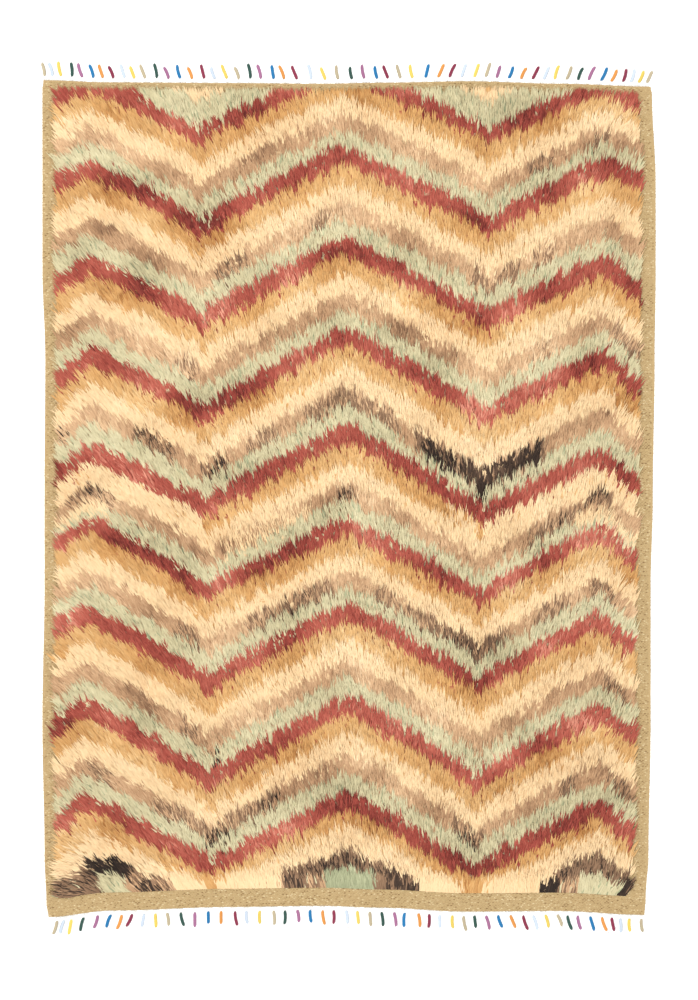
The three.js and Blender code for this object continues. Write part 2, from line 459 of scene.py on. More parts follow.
PILE_FINISHES: dict[Yarn, WoolFinish] = {
    Yarn.RED: WoolFinish(
        "madder_red_wool",
        deep=dye(78, 25, 21),
        body=dye(138, 60, 49),
        bright=dye(168, 88, 72),
        pale=dye(206, 140, 117),
    ),
    Yarn.OCHRE: WoolFinish(
        "ochre_wool",
        deep=dye(148, 98, 51),
        body=dye(183, 138, 84),
        bright=dye(195, 156, 104),
        pale=dye(209, 179, 132),
        painted_root_shade=0.15,
    ),
    Yarn.CREAM: WoolFinish(
        "cream_wool",
        deep=dye(198, 163, 120),
        body=dye(208, 179, 137),
        bright=dye(212, 184, 143),
        pale=dye(216, 191, 153),
        painted_root_shade=0.05,
    ),
    Yarn.TAUPE: WoolFinish(
        "taupe_wool",
        deep=dye(110, 80, 58),
        body=dye(162, 126, 93),
        bright=dye(193, 158, 121),
        pale=dye(218, 190, 152),
    ),
    Yarn.SAGE: WoolFinish(
        "sage_wool",
        deep=dye(153, 143, 110),
        body=dye(178, 168, 132),
        bright=dye(186, 176, 141),
        pale=dye(196, 187, 151),
        painted_root_shade=0.1,
    ),
    Yarn.BROWN: WoolFinish(
        "brown_wool",
        deep=dye(65, 48, 35),
        body=dye(104, 79, 60),
        bright=dye(136, 106, 81),
        pale=dye(172, 139, 107),
    ),
    Yarn.DARK: WoolFinish(
        "dark_wool",
        deep=dye(17, 13, 9),
        body=dye(38, 28, 22),
        bright=dye(62, 47, 37),
        pale=dye(100, 77, 60),
    ),
    Yarn.MOSS: WoolFinish(
        "moss_green_wool",
        deep=dye(100, 104, 78),
        body=dye(136, 139, 107),
        bright=dye(158, 160, 126),
        pale=dye(186, 184, 150),
    ),
}
TAN_WOOL = WoolFinish(
    "tan_ground_wool",
    deep=dye(118, 93, 58),
    body=dye(154, 130, 90),
    bright=dye(168, 145, 105),
    pale=dye(191, 172, 135),
    painted_root_shade=0.0,
    fibre_scale=420.0,
)
WARP_YARN = WoolFinish(
    "white_warp_yarn",
    deep=dye(226, 224, 220),
    body=dye(242, 241, 238),
    bright=dye(249, 248, 245),
    pale=dye(254, 253, 251),
    painted_root_shade=0.0,
)
WRAP_THREAD = DyedFinish("wound_thread")
BED_WOOL = DyedFinish("pile_roots", dark_share=0.84, fibre_scale=260.0, fibre_relief=0.6)


class Thread(Enum):
    """The tassels' binding threads, in the order that they repeat in."""

    PALE_BLUE = dye(176, 187, 200)
    YELLOW = dye(200, 176, 82)
    BEIGE = dye(162, 150, 124)
    GREEN = dye(40, 70, 62)
    MAUVE = dye(142, 92, 124)
    BLUE = dye(24, 102, 150)
    ORANGE = dye(192, 128, 62)
    MAROON = dye(118, 40, 62)


class SideRow(NamedTuple):
    """How far the two selvedges lie inside the widest line, at a distance from the bottom end."""

    along: float
    left: float
    right: float


class EndRow(NamedTuple):
    """How far the two ends lie inside the longest line, at a distance from the left selvedge."""

    across: float
    bottom: float
    top: float


@dataclass(frozen=True)
class ClothPlan:
    """The cloth's size and uneven outline, and where a place on it lies in the frame."""

    width: float = 1.700
    length: float = 2.320
    thickness: float = 0.005
    side_rows: tuple[SideRow, ...] = (
        SideRow(0.000, 0.017, 0.031),
        SideRow(0.040, 0.011, 0.028),
        SideRow(0.170, 0.006, 0.020),
        SideRow(0.545, 0.000, 0.014),
        SideRow(0.920, 0.006, 0.014),
        SideRow(1.170, 0.006, 0.008),
        SideRow(1.550, 0.008, 0.003),
        SideRow(1.800, 0.000, 0.000),
        SideRow(2.050, 0.000, 0.000),
        SideRow(2.295, 0.000, 0.010),
        SideRow(2.320, 0.003, 0.014),
    )
    end_rows: tuple[EndRow, ...] = (
        EndRow(0.000, 0.000, 0.000),
        EndRow(0.180, 0.018, 0.006),
        EndRow(0.520, 0.028, 0.008),
        EndRow(0.780, 0.031, 0.010),
        EndRow(0.950, 0.026, 0.007),
        EndRow(1.190, 0.015, 0.003),
        EndRow(1.450, 0.017, 0.010),
        EndRow(1.700, 0.006, 0.018),
    )

    def places(self, across: np.ndarray, along: np.ndarray) -> tuple[np.ndarray, np.ndarray]:
        """Finds where places on the cloth lie in the frame.

        Args:
            across: Distances from the left selvedge's widest line.
            along: Distances from the bottom end's longest line.

        Returns:
            The frame's x and y of each place.
        """
        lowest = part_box("woven_ground")[0]
        side = [row.along for row in self.side_rows]
        end = [row.across for row in self.end_rows]
        left = eased_column(side, [row.left for row in self.side_rows], along)
        right = self.width - eased_column(side, [row.right for row in self.side_rows], along)
        bottom = eased_column(end, [row.bottom for row in self.end_rows], across)
        top = self.length - eased_column(end, [row.top for row in self.end_rows], across)
        x = left + (right - left) * across / self.width
        y = bottom + (top - bottom) * along / self.length
        return lowest[0] + x, lowest[1] + y

    def loop(self, inset: float, step: float) -> tuple[np.ndarray, np.ndarray]:
        """Walks once around the cloth, a given distance inside its edge, counter-clockwise from above.

        Args:
            inset: The distance inside the edge.
            step: The distance between points.

        Returns:
            The frame's x and y of each point.
        """
        across_steps = round(self.width / step)
        along_steps = round(self.length / step)
        rise = np.arange(across_steps) / across_steps
        climb = np.arange(along_steps) / along_steps
        u = np.concatenate([rise, np.ones(along_steps), 1.0 - rise, np.zeros(along_steps)])
        v = np.concatenate([np.zeros(across_steps), climb, np.ones(across_steps), 1.0 - climb])
        across = inset + u * (self.width - 2.0 * inset)
        along = inset + v * (self.length - 2.0 * inset)
        return self.places(across, along)


class ZigzagRow(NamedTuple):
    """The height of one red band along the cloth, at its edges, its three peaks and its two valleys."""

    left_edge: float
    left_peak: float
    left_valley: float
    middle_peak: float
    right_valley: float
    right_peak: float
    right_edge: float


class Band(NamedTuple):
    """A yarn's band, up to a share of the way from one red band's middle to the next one's."""

    yarn: Yarn
    until: float


class YarnRun(NamedTuple):
    """A stretch across the cloth where a share of the locks in part of a repeat have another yarn."""

    repeat: int
    start: float
    end: float
    low: float
    high: float
    used: Yarn
    share: float


def browned(repeat: int, start: float, end: float, share: float) -> YarnRun:
    """Makes a run of brown locks in a repeat's taupe band.

    Args:
        repeat: The repeat's number, from the top end.
        start: Where the run starts across the cloth.
        end: Where the run ends.
        share: The share of its locks that are brown.

    Returns:
        The run.
    """
    return YarnRun(repeat, start, end, 0.50, 0.67, Yarn.BROWN, share)


@dataclass(frozen=True)
class ZigzagChart:
    """The knotting chart: the traditional zigzag of five yarns, uneven from repeat to repeat."""

    vertices_top: tuple[float, ...] = (0.040, 0.128, 0.428, 0.826, 1.242, 1.563, 1.650)
    vertices_bottom: tuple[float, ...] = (0.035, 0.106, 0.466, 0.857, 1.212, 1.562, 1.645)
    top: float = 2.160
    bottom: float = 0.140
    peak_roundness: float = 1.06
    step: float = 0.028
    stepped_share: float = 0.6
    moss_share: float = 0.08
    valley_drop: float = 0.012
    valley_drop_width: float = 0.016
    rows: tuple[ZigzagRow, ...] = (
        ZigzagRow(2.495, 2.525, 2.375, 2.560, 2.375, 2.530, 2.500),
        ZigzagRow(2.284, 2.317, 2.183, 2.363, 2.181, 2.321, 2.288),
        ZigzagRow(2.045, 2.083, 1.920, 2.125, 1.925, 2.100, 2.065),
        ZigzagRow(1.758, 1.812, 1.660, 1.865, 1.663, 1.815, 1.745),
        ZigzagRow(1.492, 1.560, 1.396, 1.615, 1.392, 1.560, 1.480),
        ZigzagRow(1.225, 1.289, 1.131, 1.339, 1.118, 1.281, 1.212),
        ZigzagRow(1.038, 1.091, 0.898, 1.075, 0.888, 1.076, 1.000),
        ZigzagRow(0.803, 0.838, 0.640, 0.838, 0.644, 0.826, 0.757),
        ZigzagRow(0.524, 0.574, 0.366, 0.576, 0.372, 0.565, 0.516),
        ZigzagRow(0.256, 0.307, 0.121, 0.306, 0.118, 0.297, 0.234),
        ZigzagRow(-0.010, 0.022, -0.119, 0.036, -0.138, 0.041, -0.022),
    )
    bands: tuple[Band, ...] = (
        Band(Yarn.RED, 0.07),
        Band(Yarn.OCHRE, 0.27),
        Band(Yarn.CREAM, 0.48),
        Band(Yarn.TAUPE, 0.67),
        Band(Yarn.SAGE, 0.86),
        Band(Yarn.RED, 1.001),
    )
    runs: tuple[YarnRun, ...] = (
        YarnRun(0, 0.000, 1.700, 0.48, 0.67, Yarn.SAGE, 1.0),
        YarnRun(0, 0.000, 0.130, 0.67, 0.86, Yarn.RED, 1.0),
        YarnRun(0, 0.130, 0.300, 0.79, 0.86, Yarn.RED, 0.9),
        YarnRun(1, 1.610, 1.700, 0.05, 0.14, Yarn.RED, 0.8),
        browned(1, 1.350, 1.420, 0.5),
        browned(1, 1.530, 1.580, 0.5),
        browned(2, 0.480, 0.560, 0.6),
        browned(2, 0.740, 0.790, 0.5),
        browned(2, 1.190, 1.320, 0.6),
        browned(2, 1.360, 1.420, 0.5),
        browned(3, 0.350, 0.420, 0.4),
        browned(3, 1.360, 1.420, 0.4),
        browned(3, 1.580, 1.670, 0.6),
        YarnRun(4, 0.030, 0.065, 0.50, 0.64, Yarn.DARK, 0.3),
        browned(4, 0.235, 0.350, 0.5),
        YarnRun(4, 0.250, 0.345, 0.52, 0.62, Yarn.DARK, 0.25),
        browned(4, 0.430, 0.510, 0.6),
        YarnRun(4, 0.460, 0.500, 0.52, 0.66, Yarn.DARK, 0.35),
        browned(4, 0.560, 0.650, 0.55),
        browned(4, 0.720, 0.990, 0.65),
        YarnRun(4, 0.980, 1.180, 0.48, 0.55, Yarn.CREAM, 0.8),
        YarnRun(4, 0.980, 1.180, 0.67, 0.76, Yarn.TAUPE, 0.8),
        YarnRun(4, 1.040, 1.400, 0.53, 0.74, Yarn.BROWN, 0.75),
        YarnRun(4, 1.060, 1.190, 0.56, 0.76, Yarn.DARK, 0.75),
        YarnRun(4, 1.170, 1.385, 0.51, 0.72, Yarn.DARK, 0.95),
        YarnRun(4, 1.208, 1.238, 0.72, 0.84, Yarn.DARK, 0.8),
        YarnRun(5, 0.000, 0.435, 0.07, 0.41, Yarn.CREAM, 0.95),
        YarnRun(5, 0.000, 0.435, 0.41, 0.60, Yarn.TAUPE, 1.0),
        YarnRun(5, 0.000, 0.170, 0.60, 0.78, Yarn.CREAM, 0.8),
        YarnRun(5, 0.170, 0.435, 0.60, 0.70, Yarn.SAGE, 0.8),
        YarnRun(5, 0.060, 0.190, 0.42, 0.58, Yarn.BROWN, 0.55),
        YarnRun(5, 0.090, 0.170, 0.42, 0.54, Yarn.DARK, 0.35),
        YarnRun(5, 0.500, 0.740, 0.48, 0.67, Yarn.CREAM, 0.6),
        browned(5, 0.815, 0.870, 0.6),
        YarnRun(5, 0.825, 0.860, 0.52, 0.64, Yarn.DARK, 0.25),
        YarnRun(5, 1.230, 1.700, 0.07, 0.41, Yarn.CREAM, 0.95),
        YarnRun(5, 1.130, 1.215, 0.07, 0.27, Yarn.CREAM, 0.7),
        YarnRun(5, 1.330, 1.700, 0.41, 0.60, Yarn.TAUPE, 1.0),
        YarnRun(5, 1.480, 1.700, 0.60, 0.80, Yarn.CREAM, 0.8),
        YarnRun(5, 1.350, 1.500, 0.46, 0.66, Yarn.BROWN, 0.6),
        YarnRun(5, 1.410, 1.460, 0.46, 0.60, Yarn.DARK, 0.35),
        YarnRun(5, 1.510, 1.590, 0.38, 0.54, Yarn.BROWN, 0.6),
        YarnRun(5, 1.530, 1.580, 0.38, 0.50, Yarn.DARK, 0.4),
        browned(6, 0.360, 0.425, 0.5),
        browned(6, 0.570, 0.810, 0.6),
        YarnRun(6, 0.690, 0.780, 0.52, 0.66, Yarn.DARK, 0.2),
        browned(6, 0.930, 1.080, 0.55),
        YarnRun(6, 1.080, 1.300, 0.48, 0.68, Yarn.BROWN, 0.75),
        YarnRun(6, 1.120, 1.200, 0.52, 0.66, Yarn.DARK, 0.25),
        browned(6, 1.370, 1.480, 0.6),
        browned(6, 1.540, 1.600, 0.55),
        browned(7, 0.380, 0.430, 0.4),
        YarnRun(7, 0.465, 0.495, 0.70, 0.84, Yarn.DARK, 0.5),
        browned(7, 1.570, 1.640, 0.4),
        browned(8, 0.100, 0.190, 0.4),
        browned(8, 0.300, 0.640, 0.6),
        YarnRun(8, 0.440, 0.510, 0.52, 0.78, Yarn.DARK, 0.45),
        YarnRun(8, 0.590, 0.660, 0.52, 0.66, Yarn.DARK, 0.3),
        browned(8, 1.150, 1.240, 0.5),
        YarnRun(8, 1.170, 1.220, 0.52, 0.70, Yarn.DARK, 0.35),
        browned(8, 1.450, 1.500, 0.5),
        browned(8, 1.590, 1.660, 0.5),
        YarnRun(9, 0.080, 0.220, 0.02, 0.07, Yarn.OCHRE, 0.9),
        YarnRun(9, 0.000, 1.700, 0.22, 0.27, Yarn.CREAM, 0.9),
        YarnRun(9, 0.000, 0.085, 0.20, 0.36, Yarn.OCHRE, 0.9),
        YarnRun(9, 0.085, 0.125, 0.20, 0.29, Yarn.OCHRE, 0.9),
        YarnRun(9, 0.000, 0.120, 0.48, 0.58, Yarn.CREAM, 0.9),
        YarnRun(9, 0.000, 0.150, 0.58, 1.00, Yarn.BROWN, 0.93),
        YarnRun(9, 0.000, 0.150, 0.62, 1.00, Yarn.DARK, 0.35),
        YarnRun(9, 0.150, 0.260, 0.56, 1.00, Yarn.SAGE, 1.0),
        YarnRun(9, 0.230, 0.360, 0.42, 0.66, Yarn.TAUPE, 1.0),
        YarnRun(9, 0.230, 0.360, 0.43, 0.66, Yarn.BROWN, 0.6),
        YarnRun(9, 0.250, 0.360, 0.46, 0.66, Yarn.DARK, 0.35),
        YarnRun(9, 0.100, 0.135, 0.52, 0.62, Yarn.DARK, 1.0),
        YarnRun(9, 0.135, 0.155, 0.45, 0.60, Yarn.DARK, 1.0),
        YarnRun(9, 0.155, 0.240, 0.38, 0.58, Yarn.DARK, 1.0),
        YarnRun(9, 0.540, 0.662, 0.46, 1.00, Yarn.CREAM, 0.95),
        YarnRun(9, 1.056, 1.120, 0.46, 1.00, Yarn.CREAM, 0.95),
        YarnRun(9, 0.670, 1.056, 0.48, 0.68, Yarn.BROWN, 1.0),
        YarnRun(9, 0.670, 1.056, 0.49, 0.68, Yarn.DARK, 0.45),
        YarnRun(9, 0.830, 0.885, 0.44, 0.48, Yarn.BROWN, 0.9),
        YarnRun(9, 0.670, 0.780, 0.43, 0.48, Yarn.BROWN, 0.85),
        YarnRun(9, 0.930, 1.030, 0.43, 0.48, Yarn.BROWN, 0.85),
        YarnRun(9, 0.655, 0.790, 0.68, 1.00, Yarn.TAUPE, 0.9),
        YarnRun(9, 0.655, 0.790, 0.68, 1.00, Yarn.BROWN, 0.5),
        YarnRun(9, 0.790, 0.930, 0.68, 1.00, Yarn.MOSS, 1.0),
        YarnRun(9, 0.765, 0.950, 0.80, 1.00, Yarn.MOSS, 0.95),
        YarnRun(9, 0.765, 0.950, 0.88, 1.00, Yarn.SAGE, 0.45),
        YarnRun(9, 0.930, 0.950, 0.60, 0.80, Yarn.BROWN, 0.97),
        YarnRun(9, 0.950, 1.056, 0.60, 1.00, Yarn.BROWN, 0.97),
        YarnRun(9, 0.955, 1.056, 0.52, 1.00, Yarn.DARK, 0.65),
        YarnRun(9, 1.340, 1.440, 0.46, 0.68, Yarn.CREAM, 0.95),
        YarnRun(9, 1.440, 1.660, 0.42, 0.68, Yarn.BROWN, 1.0),
        YarnRun(9, 1.440, 1.660, 0.45, 0.64, Yarn.DARK, 0.2),
        YarnRun(9, 1.445, 1.510, 0.66, 0.90, Yarn.TAUPE, 0.9),
        YarnRun(9, 1.445, 1.510, 0.66, 0.90, Yarn.BROWN, 0.4),
        YarnRun(9, 1.388, 1.450, 0.56, 0.90, Yarn.DARK, 1.0),
        YarnRun(9, 1.510, 1.625, 0.68, 1.00, Yarn.SAGE, 1.0),
        YarnRun(9, 1.625, 1.665, 0.56, 1.00, Yarn.DARK, 0.9),
    )

    def heights(self, row: ZigzagRow, across: np.ndarray) -> np.ndarray:
        """Finds a red band's height at places across the cloth, with rounded peaks and sharp valleys.

        Args:
            row: The band's row of the chart.
            across: The places.

        Returns:
            The band's middle, as distances along the cloth.
        """
        share = np.clip((self.top - row.left_valley) / (self.top - self.bottom), 0.0, 1.0)
        vertex = np.array(self.vertices_top) * (1.0 - share) + np.array(self.vertices_bottom) * share
        held = np.clip(across, vertex[0], vertex[-1])
        height = np.zeros_like(held)
        for i in range(len(row) - 1):
            inside = (held >= vertex[i]) & (held <= vertex[i + 1])
            way = (held[inside] - vertex[i]) / (vertex[i + 1] - vertex[i])
            peak_first = row[i] > row[i + 1]
            from_peak = way if peak_first else 1.0 - way
            peak = max(row[i], row[i + 1])
            foot = min(row[i], row[i + 1])
            height[inside] = peak + (foot - peak) * from_peak**self.peak_roundness
        for valley in (vertex[2], vertex[4]):
            height -= self.valley_drop * np.exp(-np.abs(held - valley) / self.valley_drop_width)
        return height

    def yarns(self, across: np.ndarray, along: np.ndarray, rng: np.random.Generator) -> np.ndarray:
        """Reads which yarn each knot has.

        Args:
            across: Places across the cloth.
            along: Places along the cloth, where the knot's tuft shows.
            rng: The source of the knots that a run leaves as they are, and of the moss-green ones.

        Returns:
            The number of each knot's yarn, in the order of the Yarn options.
        """
        middle = (np.floor(across / self.step) + 0.5) * self.step
        stepped = across + self.stepped_share * (middle - across)
        levels = np.stack([self.heights(row, stepped) for row in self.rows])
        order = list(Yarn)
        yarn = np.zeros(len(across), int)
        for index in range(len(levels) - 1):
            phase = (levels[index] - along) / (levels[index] - levels[index + 1])
            start = 0.0
            for band in self.bands:
                yarn[(phase >= start) & (phase < band.until)] = order.index(band.yarn)
                start = band.until
            for run in self.runs:
                if run.repeat == index:
                    inside = (across >= run.start) & (across <= run.end)
                    inside &= (phase >= run.low) & (phase < run.high)
                    changed = inside & (rng.uniform(0.0, 1.0, len(across)) < run.share)
                    yarn[changed] = order.index(run.used)
        greener = rng.uniform(0.0, 1.0, len(across)) < self.moss_share
        yarn[greener & (yarn == order.index(Yarn.SAGE))] = order.index(Yarn.MOSS)
        return yarn


class LeanRow(NamedTuple):
    """A lean from the cloth's length in degrees, positive towards +X, at a distance across the cloth."""

    across: float
    lean: float


class DriftRow(NamedTuple):
    """How far a tassel lies from its evenly spaced place, by its number from the left."""

    index: float
    drift: float


class ThreadRow(NamedTuple):
    """The tassel, by its number from the left, from which the threads repeat onwards from a given one."""

    index: int
    thread: Thread


@dataclass(frozen=True)
class NapField:
    """Which way the pile lies: towards the top end, splaying to both sides, with a swirl at one corner."""

    rows: tuple[LeanRow, ...] = (
        LeanRow(0.00, -38.0),
        LeanRow(0.25, -30.0),
        LeanRow(0.55, -15.0),
        LeanRow(0.85, -7.0),
        LeanRow(1.25, 1.0),
        LeanRow(1.50, 9.0),
        LeanRow(1.70, 26.0),
    )
    lower_left_extra: float = -10.0
    corner_extra: float = -42.0
    corner_reach: float = 0.16
    corner_place: float = 0.06

    def leans(self, across: np.ndarray, along: np.ndarray, plan: ClothPlan) -> np.ndarray:
        """Finds the nap's lean.

        Args:
            across: Places across the cloth.
            along: Places along the cloth.
            plan: The cloth.

        Returns:
            Each place's lean in radians.
        """
        base = eased_column([row.across for row in self.rows], [row.lean for row in self.rows], across)
        lower = np.clip(1.0 - along / plan.length, 0.0, 1.0)
        left = np.clip(1.0 - across / (0.5 * plan.width), 0.0, 1.0)
        corner = np.hypot(across - self.corner_place, along - self.corner_place) / self.corner_reach
        curl = self.corner_extra * np.clip(1.0 - corner, 0.0, 1.0)
        return np.radians(base + self.lower_left_extra * lower * left + curl)


class Shape(NamedTuple):
    """A small mesh that is repeated: its points, its faces, and how far along the strand each point is."""

    points: np.ndarray
    faces: list[tuple[int, ...]]
    reach: np.ndarray
    smooth: bool = True


def joined(shapes: Sequence[Shape]) -> Shape:
    """Puts several small meshes together as one.

    Args:
        shapes: The meshes.

    Returns:
        One mesh that holds them all.
    """
    faces: list[tuple[int, ...]] = []
    start = 0
    for shape in shapes:
        faces += [tuple(index + start for index in face) for face in shape.faces]
        start += len(shape.points)
    points = np.concatenate([shape.points for shape in shapes])
    return Shape(points, faces, np.concatenate([shape.reach for shape in shapes]))


def strand(path: np.ndarray, widths: Sequence[float], height_share: float = 0.3) -> Shape:
    """Makes a closed three-sided strand that runs along +Y.

    Args:
        path: The strand's middle line, a row for each section.
        widths: The width of each section. The first and the last may be 0, for a point.
        height_share: The strand's height as a share of its width.

    Returns:
        The strand.
    """
    share_below_line = 0.45
    low = -share_below_line * height_share
    ridge = np.array([[-0.5, 0.0, low], [0.5, 0.0, low], [0.0, 0.0, low + height_share]])
    share = np.linspace(0.0, 1.0, len(path))
    full = [i for i in range(len(path)) if widths[i] > 0.0]
    points = np.concatenate([path[i] + ridge * widths[i] for i in full])
    reach = np.repeat(share[full], 3)
    faces: list[tuple[int, ...]] = []
    for section in range(len(full) - 1):
        for side in range(3):
            here = 3 * section + side
            beside = 3 * section + (side + 1) % 3
            faces.append((beside, here, here + 3, beside + 3))
    last = 3 * (len(full) - 1)
    if widths[0] > 0.0:
        faces.append((0, 1, 2))
    else:
        points = np.concatenate([points, path[:1]])
        reach = np.append(reach, 0.0)
        faces += [(len(points) - 1, side, (side + 1) % 3) for side in range(3)]
    if widths[-1] > 0.0:
        faces.append((last + 2, last + 1, last))
    else:
        points = np.concatenate([points, path[-1:]])
        reach = np.append(reach, 1.0)
        faces += [(last + (side + 1) % 3, last + side, len(points) - 1) for side in range(3)]
    return Shape(points, faces, reach)


def lock(path: np.ndarray, width: float) -> Shape:
    """Makes a closed lock of four faces that runs along +Y, pointed at both ends and widest at its bend.

    Args:
        path: The root, the bend and the tip.
        width: The width at the bend.

    Returns:
        The lock.
    """
    side = np.array([0.5 * width, 0.0, 0.0])
    points = np.array([path[0], path[1] - side, path[1] + side, path[2]])
    faces: list[tuple[int, ...]] = [(0, 2, 1), (1, 2, 3), (0, 1, 3), (0, 3, 2)]
    return Shape(points, faces, np.array([0.0, 0.5, 0.5, 1.0]), smooth=False)


@dataclass
class Planting:
    """Where the copies of some small shapes stand: one row for each copy."""

    points: np.ndarray
    turns: np.ndarray
    sizes: np.ndarray
    shapes: np.ndarray
    tones: np.ndarray
    dyes: np.ndarray | None = None

    def only(self, kept: np.ndarray) -> "Planting":
        """Keeps some of the copies, which have no dyes of their own.

        Args:
            kept: Whether each copy is kept.

        Returns:
            The planting of those copies.
        """
        columns = (self.points, self.turns, self.sizes, self.shapes, self.tones)
        return Planting(*(column[kept] for column in columns))


class Planter:
    """Plants copies of small shapes on points with one node tree, and makes each planting a plain mesh."""

    patch_margin: float = 0.12
    patch_slant: float = 0.4
    least_span: float = 1e-9

    def __init__(self) -> None:
        """Builds the tree once, for every planting."""
        self.tree = self._make_tree()

    def _make_tree(self) -> bpy.types.NodeTree:
        """Builds the planting tree.

        Returns:
            The tree, with inputs for the shapes, the finish and the number of map cells in a row.
        """
        tree = bpy.data.node_groups.new("strand_planting", "GeometryNodeTree")
        tree.interface.new_socket("Geometry", in_out="INPUT", socket_type="NodeSocketGeometry")
        tree.interface.new_socket("Shapes", in_out="INPUT", socket_type="NodeSocketCollection")
        tree.interface.new_socket("Finish", in_out="INPUT", socket_type="NodeSocketMaterial")
        tree.interface.new_socket("Map cells in a row", in_out="INPUT", socket_type="NodeSocketFloat")
        tree.interface.new_socket("Geometry", in_out="OUTPUT", socket_type="NodeSocketGeometry")
        sketch = NodeSketch(tree)
        given = sketch.add("NodeGroupInput")
        shapes = sketch.add(
            "GeometryNodeCollectionInfo",
            {"Collection": given.outputs["Shapes"], "Separate Children": True, "Reset Children": True},
        )
        turn = sketch.add("FunctionNodeEulerToRotation", {0: self._read(sketch, "turn", "FLOAT_VECTOR")})
        planted = sketch.add(
            "GeometryNodeInstanceOnPoints",
            {
                "Points": given.outputs["Geometry"],
                "Instance": shapes.outputs[0],
                "Pick Instance": True,
                "Instance Index": self._read(sketch, "shape", "INT"),
                "Rotation": turn.outputs[0],
                "Scale": self._read(sketch, "size", "FLOAT_VECTOR"),
            },
        )
        real = sketch.add("GeometryNodeRealizeInstances", {"Geometry": planted.outputs[0]})
        cell = self._read(sketch, "cell", "FLOAT_VECTOR")
        patch = self._read(sketch, "patch", "FLOAT_VECTOR")
        moved = sketch.add("ShaderNodeVectorMath", {0: cell, 1: patch}, operation="ADD")
        part = sketch.sums("DIVIDE", 1.0, given.outputs["Map cells in a row"])
        scaled = sketch.add("ShaderNodeVectorMath", {0: moved.outputs[0], "Scale": part}, operation="SCALE")
        mapped = sketch.add(
            "GeometryNodeStoreNamedAttribute",
            {"Geometry": real.outputs[0], "Name": "OFBake", "Value": scaled.outputs[0]},
            data_type="FLOAT2",
            domain="CORNER",
        )
        dressed = sketch.add(
            "GeometryNodeSetMaterial", {"Geometry": mapped.outputs[0], "Material": given.outputs["Finish"]}
        )
        sketch.add("NodeGroupOutput", {0: dressed.outputs[0]})
        return tree

    @staticmethod
    def _read(sketch: NodeSketch, name: str, kind: str) -> bpy.types.NodeSocket:
        """Adds a reader of a named attribute of the planting's points.

        Args:
            sketch: The planting tree.
            name: The attribute's name.
            kind: Blender's name for its kind of value.

        Returns:
            The value's socket.
        """
        node = sketch.add("GeometryNodeInputNamedAttribute", {"Name": name}, data_type=kind)
        return node.outputs[0]

    def _shape_object(self, name: str, shape: Shape) -> bpy.types.Object:
        """Makes the object of one repeated shape, with its own patch of the map.

        Args:
            name: The object's name.
            shape: The shape.

        Returns:
            The object, in no scene.
        """
        mesh = bpy.data.meshes.new(name)
        mesh.from_pydata(shape.points.tolist(), [], shape.faces)
        if shape.smooth:
            mesh.shade_smooth()
        else:
            mesh.shade_flat()
        set_values(mesh, "reach", "FLOAT", shape.reach)
        width = shape.points[:, 0] - shape.points[:, 0].min() + self.patch_slant * shape.points[:, 2]
        width = width - width.min()
        run = shape.points[:, 1] - shape.points[:, 1].min()
        spans = [span / max(span.max(), self.least_span) for span in (width, run)]
        spread = self.patch_margin + (1.0 - 2.0 * self.patch_margin) * np.stack(spans, axis=1)
        corner = np.empty(len(mesh.loops), np.int32)
        mesh.loops.foreach_get("vertex_index", corner)
        flat = np.zeros((len(corner), 3))
        flat[:, :2] = spread[corner]
        set_values(mesh, "patch", "FLOAT_VECTOR", flat, "CORNER")
        return bpy.data.objects.new(name, mesh)

    def plant(
        self, name: str, planting: Planting, shapes: Sequence[Shape], finish: bpy.types.Material
    ) -> bpy.types.Object:
        """Plants the shapes and keeps the result as one plain mesh.

        Args:
            name: The piece's name.
            planting: Where each copy stands.
            shapes: The shapes that the copies are of.
            finish: The piece's material.

        Returns:
            The piece, at the origin.
        """
        beds = bpy.data.collections.new(name + "_shapes")
        for index, shape in enumerate(shapes):
            beds.objects.link(self._shape_object(f"{name}_shape_{index:02d}", shape))
        count = len(planting.points)
        cells = math.ceil(math.sqrt(count))
        cell = np.zeros((count, 3))
        cell[:, 0] = np.arange(count) % cells
        cell[:, 1] = np.arange(count) // cells
        mesh = bpy.data.meshes.new(name + "_points")
        mesh.vertices.add(count)
        mesh.vertices.foreach_set("co", planting.points.astype(np.float32).ravel())
        set_values(mesh, "turn", "FLOAT_VECTOR", planting.turns)
        set_values(mesh, "size", "FLOAT_VECTOR", planting.sizes)
        set_values(mesh, "cell", "FLOAT_VECTOR", cell)
        set_values(mesh, "tone", "FLOAT", planting.tones)
        set_values(mesh, "shape", "INT", planting.shapes)
        if planting.dyes is not None:
            set_values(mesh, "dye", "FLOAT_COLOR", planting.dyes)
        grower = bpy.data.objects.new(name + "_grower", mesh)
        bpy.context.scene.collection.objects.link(grower)
        modifier = grower.modifiers.new("planting", "NODES")
        modifier.node_group = self.tree
        sockets = self.tree.interface.items_tree
        inputs = {item.name: item.identifier for item in sockets if item.in_out == "INPUT"}
        modifier[inputs["Shapes"]] = beds
        modifier[inputs["Finish"]] = finish
        modifier[inputs["Map cells in a row"]] = float(cells)
        graph = bpy.context.evaluated_depsgraph_get()
        grown = bpy.data.meshes.new_from_object(grower.evaluated_get(graph), depsgraph=graph)
        grower.modifiers.remove(modifier)
        bpy.data.objects.remove(grower)
        for shape_object in list(beds.objects):
            bpy.data.objects.remove(shape_object)
        bpy.data.collections.remove(beds)
        return placed_piece(name, grown, finish)


